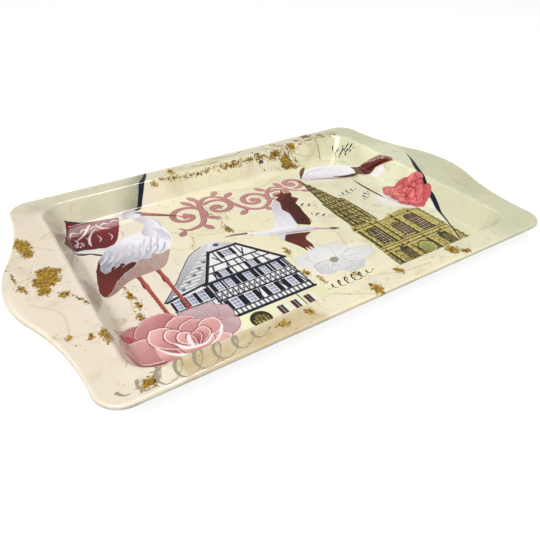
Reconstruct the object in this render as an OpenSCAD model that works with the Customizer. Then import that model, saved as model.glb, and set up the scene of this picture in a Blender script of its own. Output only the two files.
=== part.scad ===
// Serving tray: one sheet of tinplate, drawn into a flat-bottomed well with a sloping wall and a flat
// flange. The flange swells out at both ends into wings to hold it by, and its edge is curled under
// into a hollow bead. The printed face coat runs from the floor, up the wall, over the flange and
// round the bead. The sheet is drawn as its pressed zones, which meet face to face.
// Millimetres. X runs along the tray, Y from front to back, Z up; z = 0 is the underside of the floor.

/* [Tray] */
// Overall length, over the beads at the two ends
tray_l = 320; // [300:1:340]
// Overall width, over the beads at the front and back
tray_w = 200; // [190:1:215]
// How far each end swells out past its corners
end_bulge = 18.49; // [14:0.01:20]
// Plan radius of the four outer corners
corner_r = 14; // [10:0.5:18]
// Plan radius of each end's crest
crest_r = 70; // [50:1:80]

/* [Well] */
// Length of the flat floor
floor_l = 226; // [210:1:230]
// Width of the flat floor
floor_w = 151; // [130:1:155]
// Plan radius of the flat floor's corners
floor_corner_r = 4.6; // [4:0.2:10]
// Depth of the well, from the flange to the floor
well_depth = 14.3; // [12:0.1:15]
// How far the wall leans out from the flat floor to the flat flange
wall_spread = 12.4; // [10:0.1:15]
// Radius of the bend between the floor and the wall
floor_bend_r = 3; // [2:0.25:4]
// Radius of the bend between the wall and the flange
flange_bend_r = 2.5; // [1.5:0.25:4]

/* [Sheet] */
// Thickness of the tinplate
sheet_t = 0.3; // [0.25:0.05:0.4]
// Outside diameter of the curled bead
bead_d = 3; // [2.5:0.1:3.5]
// How far the edge is rolled, in degrees
curl_turn = 300; // [240:10:310]
// Thickness of the printed coat with its varnish
coat_t = 0.1; // [0.1:0.05:0.2]
// How far the print follows the curl, in degrees
coat_turn = 150; // [100:10:170]

/* [Hidden] */

profile_fn = 96;
plan_fn = 360;
bend_steps = 8;

floor_top = sheet_t;
flange_top = floor_top + well_depth;
bead_r = bead_d / 2;
curl_inset = coat_t + bead_r;

// The wall is a straight slope between two bends that turn opposite ways. Its slope follows from the
// depth and the spread, and from the length of the straight that is tangent to both bends.
bends_r = floor_bend_r + flange_bend_r;
slope_l = sqrt(wall_spread ^ 2 + (well_depth - bends_r) ^ 2 - bends_r ^ 2);
wall_slope = atan2(well_depth - bends_r, wall_spread) + atan2(bends_r, slope_l);

// Each end is an S of two tangent arcs on both sides: the hollow starts square off the corner, and
// the crest meets it on the line between their centres.
corner_at = [tray_l / 2 - end_bulge - corner_r, tray_w / 2 - corner_r];
crest_at = [tray_l / 2 - crest_r, 0];
end_radii = (corner_at[1] ^ 2 + end_bulge ^ 2) / (2 * end_bulge);
hollow_r = end_radii - crest_r;
hollow_at = [corner_at[0] + corner_r + hollow_r, corner_at[1]];

function heading(angle) = [cos(angle), sin(angle)];
function arc(at, radius, from, to) =
    [for (i = [0:bend_steps]) at + radius * heading(from + (to - from) * i / bend_steps)];

// ---- Profiles: x is how far a point lies outwards of the swept line, and y is its height ----

// A layer of the wall with both its bends, between two heights above the sheet's upper face
module wall_profile(under, over) {
    floor_bend = [0, floor_top + floor_bend_r];
    flange_bend = [wall_spread, flange_top - flange_bend_r];
    polygon(concat(
        arc(floor_bend, floor_bend_r - under, -90, wall_slope - 90),
        arc(flange_bend, flange_bend_r + under, 90 + wall_slope, 90),
        arc(flange_bend, flange_bend_r + over, 90, 90 + wall_slope),
        arc(floor_bend, floor_bend_r - over, wall_slope - 90, -90)
    ));
}

// A ring between two radii, less the sector from 90 degrees counter-clockwise through a gap
module open_ring(inner, outer, gap) {
    reach = 4 * outer;
    cut = [for (i = [0:3]) reach * heading(90 + gap * i / 3)];
    translate([-curl_inset, flange_top - bead_r]) difference() {
        circle(outer, $fn = profile_fn);
        circle(inner, $fn = profile_fn);
        polygon(concat([[0, 0]], cut));
    }
}

// The sheet rolled down and under from the flange, open where its end stops short of the flange
module curl_profile() {
    open_ring(bead_r - sheet_t, bead_r, 360 - curl_turn);
}

module curl_coat_profile() {
    open_ring(bead_r, bead_r + coat_t, 360 - coat_turn);
}

// ---- Plans ----

module four_ways() {
    for (sx = [0, 1], sy = [0, 1]) mirror([sx, 0, 0]) mirror([0, sy, 0]) children();
}

// The tray's plan, drawn in from its outer edge by an inset
module tray_plan(inset) {
    four_ways() {
        square([corner_at[0], tray_w / 2 - inset]);
        intersection() {
            translate(corner_at) circle(corner_r - inset, $fn = plan_fn);
            translate(corner_at) square(corner_r);
        }
        difference() {
            polygon([[0, 0], crest_at, hollow_at, [0, corner_at[1]]]);
            translate(hollow_at) circle(hollow_r + inset, $fn = plan_fn);
        }
        intersection() {
            translate(crest_at) circle(crest_r - inset, $fn = plan_fn);
            polygon([crest_at, [hollow_at[0], 0], hollow_at]);
        }
    }
}

// The well's plan, grown outwards from the edge of its flat floor
module well_plan(grow) {
    half = [floor_l / 2 + grow, floor_w / 2 + grow];
    r = floor_corner_r + grow;
    four_ways() {
        square([half[0] - r, half[1]]);
        square([half[0], half[1] - r]);
        translate([half[0] - r, half[1] - r]) intersection() {
            circle(r, $fn = plan_fn);
            square(r);
        }
    }
}

module flange_plan() {
    difference() {
        tray_plan(curl_inset);
        well_plan(wall_spread);
    }
}

// ---- Sweeps of a profile ----

module straight_sides(length, offset) {
    for (turn = [0, 180]) rotate(turn) translate([-length / 2, offset, 0])
        rotate([90, 0, 90]) linear_extrude(length) children();
}

module quarter_turn(at, radius) {
    translate([at[0], at[1], 0]) rotate_extrude(angle = 90, $fn = plan_fn)
        translate([radius, 0]) children();
}

// The crest's half, cut on the line between the centres of the crest and the hollow
module crest_arc() {
    intersection() {
        quarter_turn(crest_at, crest_r) children();
        linear_extrude(2 * flange_top) polygon([crest_at, [hollow_at[0], -1], hollow_at]);
    }
}

// The hollow, with its profile turned round, because the tray lies outside its circle
module hollow_arc() {
    above = corner_at[1] + corner_r;
    intersection() {
        translate([hollow_at[0], hollow_at[1], 0]) rotate(180)
            rotate_extrude(angle = 90, $fn = plan_fn) translate([hollow_r, 0]) mirror([1, 0]) children();
        linear_extrude(2 * flange_top) polygon([crest_at, hollow_at, [crest_at[0], above]]);
    }
}

module along_well() {
    straight_l = floor_l - 2 * floor_corner_r;
    straight_w = floor_w - 2 * floor_corner_r;
    straight_sides(straight_l, floor_w / 2) children();
    rotate(90) straight_sides(straight_w, floor_l / 2) children();
    four_ways() quarter_turn([straight_l / 2, straight_w / 2], floor_corner_r) children();
}

module along_edge() {
    straight_sides(2 * corner_at[0], tray_w / 2) children();
    four_ways() {
        quarter_turn(corner_at, corner_r) children();
        hollow_arc() children();
        crest_arc() children();
    }
}

// ---- Parts ----

// Flat bottom of the well, which the tray stands on
module floor_panel() {
    color("silver") linear_extrude(sheet_t) well_plan(0);
}

// Sloping wall all round the well, with the bends that join it to the floor and the flange
module well_wall() {
    color("lightgray") along_well() wall_profile(-sheet_t, 0);
}

// Flat border round the well, which widens into a wing at each end
module wing_flange() {
    color("gainsboro") translate([0, 0, flange_top - sheet_t]) linear_extrude(sheet_t) flange_plan();
}

// Hollow bead, where the sheet's edge is curled down and under
module rolled_edge() {
    color("darkgray") along_edge() curl_profile();
}

// Printed coat with its varnish, all over the face and round the outside of the bead
module print_coat() {
    color("blanchedalmond") {
        translate([0, 0, floor_top]) linear_extrude(coat_t) well_plan(0);
        along_well() wall_profile(0, coat_t);
        translate([0, 0, flange_top]) linear_extrude(coat_t) flange_plan();
        along_edge() curl_coat_profile();
    }
}

floor_panel();
well_wall();
wing_flange();
rolled_edge();
print_coat();
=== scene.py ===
import math
from collections import namedtuple

import bpy
import numpy as np
from bpy.props import FloatProperty, FloatVectorProperty, IntProperty, PointerProperty
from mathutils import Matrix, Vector


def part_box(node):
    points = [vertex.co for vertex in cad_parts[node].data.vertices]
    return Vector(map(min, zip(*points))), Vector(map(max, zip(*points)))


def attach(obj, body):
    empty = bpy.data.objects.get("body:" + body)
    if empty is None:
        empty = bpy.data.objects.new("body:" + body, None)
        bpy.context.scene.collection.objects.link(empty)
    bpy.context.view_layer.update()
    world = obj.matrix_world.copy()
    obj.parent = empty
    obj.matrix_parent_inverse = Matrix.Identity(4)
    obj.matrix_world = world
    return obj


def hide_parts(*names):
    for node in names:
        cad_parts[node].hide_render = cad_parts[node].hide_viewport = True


bl_info = {
    "name": "Printed tin tray",
    "version": (1, 0, 0),
    "blender": (4, 5, 0),
    "location": "View3D > Sidebar > Tray",
    "description": "Builds the printed face of a pressed tinplate serving tray, its finishes and its stage",
    "category": "Object",
}

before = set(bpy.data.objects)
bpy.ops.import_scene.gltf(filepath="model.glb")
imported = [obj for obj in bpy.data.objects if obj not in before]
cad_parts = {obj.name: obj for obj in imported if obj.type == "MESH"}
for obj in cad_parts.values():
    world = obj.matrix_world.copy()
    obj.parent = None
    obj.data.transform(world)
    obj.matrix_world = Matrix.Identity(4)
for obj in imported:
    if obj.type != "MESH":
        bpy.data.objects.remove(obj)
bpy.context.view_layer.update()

MM = 0.001
BODY = "root"
FLOOR_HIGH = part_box("floor_panel")[1]
FLANGE_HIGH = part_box("wing_flange")[1]
COAT_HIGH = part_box("print_coat")[1]


def srgb(code):
    """Turns an sRGB hex colour into linear red, green and blue."""
    parts = [int(code[i:i + 2], 16) / 255 for i in (1, 3, 5)]
    return tuple(c / 12.92 if c <= 0.04045 else ((c + 0.055) / 1.055) ** 2.4 for c in parts)


# ---- Sizes and colours a user would change ----

def length(name, description, default):
    return FloatProperty(name=name, description=description, default=default, min=0.01, subtype="DISTANCE")


def colour(name, description, code):
    return FloatVectorProperty(name=name, description=description, default=srgb(code), subtype="COLOR",
                               min=0, max=1)


class TraySizes(bpy.types.PropertyGroup):
    """The tray's shape in millimetres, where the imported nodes' boxes don't give it."""
    floor_corner_r: length("Floor corner", "Plan radius of the flat floor's corners", 4.6)
    wall_spread: length("Wall spread", "How far the wall leans out from floor to flange", 12.4)
    floor_bend_r: length("Floor bend", "Radius of the bend between floor and wall", 3.0)
    flange_bend_r: length("Flange bend", "Radius of the bend between wall and flange", 2.5)
    corner_r: length("Outer corner", "Plan radius of the outer corners", 14.0)
    end_bulge: length("End bulge", "How far each end swells past its corners", 18.49)
    crest_r: length("Crest", "Plan radius of each end's crest", 70.0)
    bead_d: length("Bead", "Outside diameter of the curled edge", 3.0)
    coat_turn: length("Print on bead", "How far the print follows the curl, in degrees", 150.0)
    lap: length("Lap", "Width of the flat strip on each side of the wall that is printed with it", 0.5)
    spacing: length("Spacing", "Distance between the printed floor's points", 0.36)
    loop_spacing: length("Loop spacing", "Distance between the points round the wall and the flange", 0.6)


class PrintColours(bpy.types.PropertyGroup):
    """The grounds, washes and inks. Each ink has a dark and a light tone."""
    ground_left: colour("Ground, left", "Pinkish cream of the left end", "#eee2d0")
    ground_middle: colour("Ground, middle", "Yellowish cream of the middle", "#f2eac9")
    ground_right: colour("Ground, right", "Greenish cream of the right end", "#e8e6c6")
    vein: colour("Vein", "Marbling in the ground", "#c4b184")
    sage: colour("Sage", "Grey-green wash at the right end and the back", "#d0cfae")
    # The same olive also paints shade on the well's left wall, in its back-left corner and along the foot of
    # the back wall
    shade: colour("Shade", "Olive shadow behind the black ribbon", "#54563f")
    tan: colour("Tan", "Parchment band on the front flange", "#c4ac78")
    # Grey tin where the print thins over the curl, which also stands in as painted shade on the bead's outer
    # and under side
    bead_tin_and_shade: colour("Worn bead", "Grey of the tin where the print thins over the curl", "#7d7868")
    haze: colour("Haze", "White mist round the blossoms and the birds", "#fbf5f3")
    script_dark: colour("Grey line, dark", "Pencil-grey flourishes", "#8d8672")
    script_light: colour("Grey line, light", "Pencil-grey flourishes", "#b9ae94")
    leaf_dark: colour("Gold leaf, dark", "Flakes of printed gold leaf", "#513505")
    leaf_light: colour("Gold leaf, light", "Flakes of printed gold leaf", "#cba138")
    wine_dark: colour("Wine, dark", "Lozenge", "#471215")
    wine_light: colour("Wine, light", "Lozenge", "#86222a")
    ochre_dark: colour("Ochre, dark", "Tower", "#5c5226")
    ochre_light: colour("Ochre, light", "Tower", "#d8c676")
    umber_dark: colour("Umber, dark", "Tower's shadows and windows", "#2e2717")
    umber_light: colour("Umber, light", "Tower's shadows and windows", "#746a35")
    plaster_dark: colour("Plaster, dark", "House walls in shade and roof", "#85868f")
    plaster_light: colour("Plaster, light", "House walls", "#f2f1ee")
    lime_dark: colour("Lime wash, dark", "House's ground floor", "#dcd8a6")
    lime_light: colour("Lime wash, light", "House's ground floor", "#f3f1cd")
    glass_dark: colour("Glass, dark", "House windows", "#474d7c")
    glass_light: colour("Glass, light", "House windows", "#b3b7d2")
    rose_dark: colour("Rose, dark", "Scroll ornament", "#7c5450")
    rose_light: colour("Rose, light", "Scroll ornament", "#cf938f")
    petal_dark: colour("Petal, dark", "Pink blossoms", "#97333a")
    petal_light: colour("Petal, light", "Pink blossoms", "#edb9b2")
    poppy_dark: colour("Poppy, dark", "Ruffled blossom", "#96222d")
    poppy_light: colour("Poppy, light", "Ruffled blossom", "#ea7f7f")
    blush_dark: colour("Blush, dark", "Pale rims of the petals", "#bf9fa3")
    blush_light: colour("Blush, light", "Pale rims of the petals", "#fbf1f0")
    feather_dark: colour("Feather, dark", "White birds and the white blossom", "#9d97a3")
    feather_light: colour("Feather, light", "White birds and the white blossom", "#f8f5fa")
    mauve_dark: colour("Mauve, dark", "Shaded feathers", "#8f6d66")
    mauve_light: colour("Mauve, light", "Shaded feathers", "#c8ada2")
    maroon_dark: colour("Maroon, dark", "Flight feathers", "#3d110d")
    maroon_light: colour("Maroon, light", "Flight feathers", "#7d3325")
    coral_dark: colour("Coral, dark", "Beaks and legs", "#7c2a25")
    coral_light: colour("Coral, light", "Beaks and legs", "#cb6f60")
    moss_dark: colour("Moss, dark", "Round window", "#5f6b2c")
    moss_light: colour("Moss, light", "Round window", "#a7b069")
    black_dark: colour("Black, dark", "Timbers, pen lines and the ribbon", "#0b0d14")
    black_light: colour("Black, light", "Timbers, pen lines and the ribbon", "#2b3350")


class MetalAndStage(bpy.types.PropertyGroup):
    """The bare tinplate and the stage."""
    tinplate: colour("Tinplate", "Bright tinplate on the underside", "#c9c7c0")
    tinplate_dull: colour("Tinplate, dull", "Dulled patches of the tinplate", "#aeaca6")
    backdrop: colour("Backdrop", "Glow of the stage's floor", "#ffffff")
    backdrop_unlit: colour("Backdrop, unlit", "The floor's own paper, which takes the shadows", "#909090")
    daylight: colour("Daylight", "Even light from all round", "#ffffff")


# The order in which the inks lie over each other, lowest first, and the soft washes below them all
INKS = ("leaf", "script", "wine", "ochre", "umber", "lime", "plaster", "glass", "rose", "feather", "mauve",
        "maroon", "coral", "petal", "poppy", "blush", "moss", "black")
WASHES = ("sage", "tan", "shade", "haze", "bead_tin_and_shade")

Tray = namedtuple("Tray",
                  "half_l half_w corner_r spread slope_deg floor_r flange_r floor_z flange_z out_l out_w"
                          " out_corner bulge crest_r hollow_r bead_r coat turn lap step loop_step")


def tray_sizes(settings):
    """Gathers the tray's sizes in millimetres: boxes from the frame, radii from the settings.

    The wall's slope is the one at which a straight is tangent to both bends, and the hollow's radius is
    the one at which the hollow starts square off the corner and is tangent to the crest."""
    sheet_top = FLOOR_HIGH.z / MM
    coat = (COAT_HIGH.z - FLANGE_HIGH.z) / MM
    depth = FLANGE_HIGH.z / MM - sheet_top
    bends = settings.floor_bend_r + settings.flange_bend_r
    straight = math.sqrt(settings.wall_spread ** 2 + (depth - bends) ** 2 - bends ** 2)
    slope = math.atan2(depth - bends, settings.wall_spread) + math.atan2(bends, straight)
    out_w = COAT_HIGH.y / MM
    bulge = settings.end_bulge
    radii = ((out_w - settings.corner_r) ** 2 + bulge ** 2) / (2 * bulge)
    return Tray(
        half_l=FLOOR_HIGH.x / MM, half_w=FLOOR_HIGH.y / MM, corner_r=settings.floor_corner_r,
        spread=settings.wall_spread, slope_deg=math.degrees(slope), floor_r=settings.floor_bend_r,
        flange_r=settings.flange_bend_r, floor_z=sheet_top, flange_z=FLANGE_HIGH.z / MM,
        out_l=COAT_HIGH.x / MM, out_w=out_w, out_corner=settings.corner_r, bulge=bulge,
        crest_r=settings.crest_r, hollow_r=radii - settings.crest_r, bead_r=settings.bead_d / 2,
        coat=coat, turn=settings.coat_turn, lap=settings.lap, step=settings.spacing,
        loop_step=settings.loop_spacing)


# ---- Shapes on the flat print, in millimetres: each knows its box and a point's depth inside it ----

Shape = namedtuple("Shape", "low high depth")
REACH = 2.5
CURVE_STEPS = 7


def smooth(points, closed=False):
    """Catmull-Rom curve through a few points, each stretch a cubic worked out at even parameters."""
    p = np.array(points, float)
    if closed:
        before, start, end, after = np.roll(p, 1, 0), p, np.roll(p, -1, 0), np.roll(p, -2, 0)
    else:
        full = np.vstack([2 * p[:1] - p[1:2], p, 2 * p[-1:] - p[-2:-1]])
        before, start, end, after = full[:-3], full[1:-2], full[2:-1], full[3:]
    t = np.linspace(0, 1, CURVE_STEPS, endpoint=False)[None, :, None]
    cubic = (start[:, None] + 0.5 * t * (end - before)[:, None]
             + t ** 2 * (before - 2.5 * start + 2 * end - 0.5 * after)[:, None]
             + t ** 3 * 0.5 * (3 * start - 3 * end + after - before)[:, None])
    line = cubic.reshape(-1, p.shape[1])
    return line if closed else np.vstack([line, p[-1:]])


def stroke(points, curved=True):
    """A line with round ends through (x, y, half width) points: the depth is the local half width less the
    distance."""
    p = np.array(points, float)
    line = smooth(p) if curved and len(p) > 2 else p
    line[:, 2] = np.maximum(line[:, 2], 0.05)

    def depth(x, y):
        best = np.full(x.shape, -1e9)
        for (ax, ay, aw), (bx, by, bw) in zip(line[:-1], line[1:]):
            dx, dy = bx - ax, by - ay
            span = max(dx * dx + dy * dy, 1e-9)
            t = np.clip(((x - ax) * dx + (y - ay) * dy) / span, 0, 1)
            away = np.hypot(x - ax - t * dx, y - ay - t * dy)
            best = np.maximum(best, aw + (bw - aw) * t - away)
        return best
    margin = line[:, 2].max()
    return Shape(line[:, :2].min(0) - margin, line[:, :2].max(0) + margin, depth)


def patch(points, curved=True):
    """A closed area: the depth is the distance to its outline, positive where a ray crosses it an odd
    number of times."""
    line = smooth(points, closed=True) if curved else np.array(points, float)
    after = np.roll(line, -1, 0)

    def depth(x, y):
        away = np.full(x.shape, 1e9)
        odd = np.zeros(x.shape, bool)
        for (ax, ay), (bx, by) in zip(line, after):
            dx, dy = bx - ax, by - ay
            span = max(dx * dx + dy * dy, 1e-9)
            t = np.clip(((x - ax) * dx + (y - ay) * dy) / span, 0, 1)
            away = np.minimum(away, np.hypot(x - ax - t * dx, y - ay - t * dy))
            if ay != by:
                odd ^= ((ay > y) != (by > y)) & (x < ax + (y - ay) * dx / dy)
        return np.where(odd, away, -away)
    return Shape(line.min(0), line.max(0), depth)


def oval(cx, cy, rx, ry, turn=0.0):
    """An ellipse turned by an angle in degrees: the depth is one less the scaled radius, times the short
    radius."""
    c, s = math.cos(math.radians(turn)), math.sin(math.radians(turn))
    reach = max(rx, ry)

    def depth(x, y):
        along = (x - cx) * c + (y - cy) * s
        across = (y - cy) * c - (x - cx) * s
        return (1 - np.hypot(along / rx, across / ry)) * min(rx, ry)
    return Shape(np.array([cx - reach, cy - reach]), np.array([cx + reach, cy + reach]), depth)


def bar(x0, y0, x1, y1):
    """An upright rectangle between two corners."""
    def depth(x, y):
        return np.minimum(np.minimum(x - x0, x1 - x), np.minimum(y - y0, y1 - y))
    return Shape(np.array([x0, y0]), np.array([x1, y1]), depth)


def line(x0, y0, x1, y1, width):
    return stroke([(x0, y0, width / 2), (x1, y1, width / 2)], curved=False)


def moved(shape, dx, dy):
    return Shape(shape.low + (dx, dy), shape.high + (dx, dy), lambda x, y: shape.depth(x - dx, y - dy))


def inset(shape, margin):
    return Shape(shape.low + margin, shape.high - margin, lambda x, y: shape.depth(x, y) - margin)


def petal(base, tip, width, fullness=1.5):
    """A petal from its foot to its tip: its half width is half the width times sin(pi t^fullness)^0.7
    along it."""
    foot, end = np.array(base, float), np.array(tip, float)
    t = np.linspace(0, 1, 11)[:, None]
    along = foot + (end - foot) * t
    side = np.array([-(end - foot)[1], (end - foot)[0]]) / np.linalg.norm(end - foot)
    half = width / 2 * np.sin(math.pi * t ** fullness).clip(0) ** 0.7
    return patch(np.vstack([along + side * half, (along - side * half)[-2:0:-1]]), curved=False)


def flecked(shape, level=-1.0):
    """The same area held just outside its line, so that only the peaks of a torn ink's pattern are
    printed."""
    return Shape(shape.low, shape.high, lambda x, y: np.minimum(shape.depth(x, y), level))


def both(a, b):
    """The part that two shapes share."""
    return Shape(np.maximum(a.low, b.low), np.minimum(a.high, b.high),
                 lambda x, y: np.minimum(a.depth(x, y), b.depth(x, y)))


class Plates:
    """The printing plates of one piece. For each ink and point, how many millimetres deep it lies inside
    the ink; for the ink's tone and each soft wash, a strength from 0 to 1."""

    def __init__(self, x, y):
        self.x, self.y = x, y
        self.ink = {name: np.full(x.shape, -REACH) for name in INKS}
        self.wash = {name: np.zeros(x.shape) for name in WASHES}
        self.tone = np.full(x.shape, 0.5)

    def near(self, shape):
        return np.flatnonzero((self.x > shape.low[0] - REACH) & (self.x < shape.high[0] + REACH)
                              & (self.y > shape.low[1] - REACH) & (self.y < shape.high[1] + REACH))

    def lay(self, name, shape, tone=0.5):
        """Prints a shape in an ink. The inks that would lie over it are cleared from it first."""
        here = self.near(shape)
        if not len(here):
            return
        x, y = self.x[here], self.y[here]
        depth = np.clip(shape.depth(x, y), -REACH, REACH)
        for other in INKS[INKS.index(name) + 1:]:
            self.ink[other][here] = np.minimum(self.ink[other][here], -depth)
        self.ink[name][here] = np.maximum(self.ink[name][here], depth)
        value = tone(x, y) if callable(tone) else tone
        self.tone[here] = np.where(depth > -0.3, np.clip(value, 0, 1), self.tone[here])

    def soften(self, name, shape, width, strength, within=None):
        """Adds a soft mark to a wash: it rises over a width from the shape's outline, and stops crisply at
        the outline of another shape."""
        rise = np.clip(shape.depth(self.x, self.y) / width, 0, 1)
        rise = rise * rise * (3 - 2 * rise) * strength
        if within:
            rise = rise * np.clip(within.depth(self.x, self.y) / 0.6, 0, 1)
        np.maximum(self.wash[name], rise, out=self.wash[name])


def fade(x0, y0, x1, y1, low=0.0, high=1.0):
    """A tone that runs from low at one point to high at another, and stays level beyond them."""
    dx, dy = x1 - x0, y1 - y0
    span = dx * dx + dy * dy
    return lambda x, y: low + (high - low) * np.clip(((x - x0) * dx + (y - y0) * dy) / span, 0, 1)


# ---- Motifs ----

RIBBON = ((143, 26, .2), (137, 13, .8), (131, 3, 1.5), (125.5, -7, 1.5), (121, -18, 1.0), (117.4, -31, 1.0),
          (113.2, -42, .9), (107, -55, .6), (98, -72, .3))


def ground_washes(p):
    """Grey-green over the right end beyond the ribbon and over the back flange, olive behind the black
    wedge, and a parchment band on the front flange."""
    route = [(x, y) for x, y, _ in RIBBON]
    right_end = patch([(150, 44)] + route + [(98, -76), (170, -76), (170, 101), (150, 60)], curved=False)
    p.soften("sage", right_end, 1.5, 0.9)
    p.soften("sage", patch([(92, -56), (180, -56), (180, -120), (92, -120)], curved=False), 18, 0.95)
    p.soften("sage", patch([(60, 101), (90, 86), (104, 76), (108, 56), (124, 50), (150, 40), (170, 101)],
                           curved=False), 12, 0.85)
    p.soften("tan", patch([(-170, -101), (-124, -101), (-124, 101), (-170, 101)], curved=False), 6, 0.16)
    p.soften("sage", patch([(-150, 101), (60, 101), (60, 80), (-132, 80), (-136, 60)], curved=False), 9, 0.5)
    p.soften("sage", oval(30, -90, 120, 5), 9, 0.35)
    wedge_line = [(-44, 102), (-51, 88), (-63, 75), (-70, 66)]
    left_of_wedge = patch(wedge_line + [(-150, 66), (-150, 102)], curved=False)
    p.soften("sage", patch([(-140, 101), (-44, 101), (-52, 86), (-63, 75), (-118, 73), (-130, 84)],
                           curved=False),
             6, 0.95, left_of_wedge)
    p.soften("shade", stroke([(x, y, 17) for x, y in wedge_line], curved=False), 19, 0.85, left_of_wedge)
    # Painted shade in the well's back-left corner
    p.soften("shade", oval(-124, 84, 13, 11, 30), 12, 0.3)
    # Painted shade down the well's left wall
    p.soften("shade", stroke([(-117, 72, 7), (-120, 40, 6), (-121, 0, 5), (-120, -40, 5), (-117, -70, 4)]),
             8, 0.22)
    p.soften("shade", oval(138, -42, 15, 24, 20), 20, 0.18)
    # Painted shade along the bend at the foot of the back wall
    p.soften("shade", oval(20, 79, 120, 4), 6, 0.14)
    p.soften("tan", oval(147, -28, 10, 30), 10, 0.3)
    p.soften("sage", oval(117, 62, 12, 20), 8, 0.8)
    p.soften("shade", oval(120, 90, 8, 6, 20), 7, 0.35)
    p.soften("shade", oval(96, 96, 10, 5), 6, 0.25)
    band = patch([(-106, -84), (-60, -84), (-36, -84), (-30, -92), (-34, -104), (-100, -104), (-108, -96)])
    p.soften("tan", band, 7, 0.9)
    for x, y, rx, ry in ((36, -52, 12, 9), (-104, 58, 9, 12), (86, 78, 24, 6), (4, 92, 30, 5),
                         (-20, 92, 14, 4)):
        p.soften("tan", oval(x, y, rx, ry, 20), 8, 0.45)
    for x, y, rx, ry in ((64, 90, 14, 8), (96, 84, 12, 10), (30, 80, 16, 5), (-30, 84, 10, 10),
                         (118, 90, 8, 8),
                         (-148, 20, 8, 22), (-140, -20, 10, 8), (-66, -92, 24, 7), (24, -92, 16, 5)):
        p.soften("tan", oval(x, y, rx, ry, 20), 9, 0.5)
    for vein in (((-24, 70), (-22, 52), (-18, 36), (-26, 20)), ((-46, 28), (-38, 20), (-22, 16)),
                 ((-100, -8), (-104, -30), (-100, -44)), ((-52, 8), (-46, 22), (-56, 36)),
                 ((28, -10), (36, -24), (30, -40)), ((44, 66), (30, 60), (8, 66), (-10, 74)),
                 ((-150, -14), (-138, -30), (-140, -52)), ((-146, 60), (-140, 44), (-128, 30)),
                 ((10, -86), (26, -92), (44, -94)), ((-20, -86), (-8, -94), (0, -99)),
                 ((106, -50), (104, -66), (112, -84)), ((60, 94), (72, 84), (92, 80), (104, 92)),
                 ((-4, 98), (6, 88), (24, 84)), ((140, -20), (134, -40), (140, -60)),
                 ((112, 60), (100, 72), (84, 74))):
        p.soften("tan", stroke([(x, y, .9) for x, y in vein]), 0.9, 0.7)


def ribbon(p):
    """A black ribbon that sweeps down the right end, with a pale lit edge, and a black wedge on the back
    flange."""
    p.lay("feather", stroke([(x - 1.5, y - .5, w * .4) for x, y, w in RIBBON[3:]]), 0.95)
    p.lay("black", stroke(RIBBON), fade(97, -73, 142, 24, 0.25, 0.05))
    p.lay("black", stroke([(-44.6, 101, .5), (-49, 92.6, 1.3), (-53, 87, 1.8), (-57.6, 81, 1.4),
                           (-63, 75.4, 1.2),
                           (-72, 75.5, .3)]), fade(-66, 76, -44, 101, 0.1, 0.45))
    p.lay("black", line(113.5, -77, 106.5, -87, .9), 0.6)
    p.lay("script", stroke([(105, -79, .4), (98, -83, .7), (90, -85, .3)]), 0.2)


def stamp(p):
    """A wine-red lozenge with a torn lower edge and a pale abstract ornament."""
    field = patch([(-111, 79), (-94, 76), (-77.5, 71.5), (-82, 58), (-87, 46), (-91, 40.5), (-97, 39),
                   (-101, 41),
                   (-105, 42), (-109, 44), (-114, 44.5), (-119, 47), (-116, 60)], curved=False)
    p.lay("plaster", moved(field, -1.2, -2.2), 0.75)
    p.lay("black", stroke([(-116, 42.5, .7), (-111, 39, 1.0), (-107, 37.5, .6), (-103, 33.5, .9),
                           (-99, 31, .3)]), 0.5)
    p.lay("wine", field, fade(-118, 50, -86, 70, 0.15, 0.9))
    p.lay("black", line(-111, 79.3, -78, 72.2, .7), 0.7)
    for k in range(5):
        x = -113 + 7 * k
        p.lay("blush", stroke([(x, 64 + k, .2), (x + 3, 68 + k * 0.6, .7), (x + 6, 66 + k * 0.4, .2)]), 0.3)
        p.lay("blush", stroke([(x + 1, 50 - k, .2), (x + 3, 54 - k, .5), (x + 2, 59 - k, .2)]), 0.2)
    p.lay("blush", stroke([(-110, 57, .3), (-104, 62, .8), (-99, 70, .9), (-97, 73, .3)]), 0.5)
    p.lay("blush", stroke([(-104, 46, .3), (-103, 54, .9), (-99, 62, .5), (-95, 66, .2)]), 0.4)
    p.lay("blush", stroke([(-94, 71, .2), (-92, 65, .8), (-87, 61, .2)]), 0.4)
    for k in range(8):
        a = k * math.pi / 4
        p.lay("blush", oval(-110 + 2.4 * math.cos(a), 51 + 2.4 * math.sin(a), 1.1, .5, math.degrees(a)), 0.4)


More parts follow.
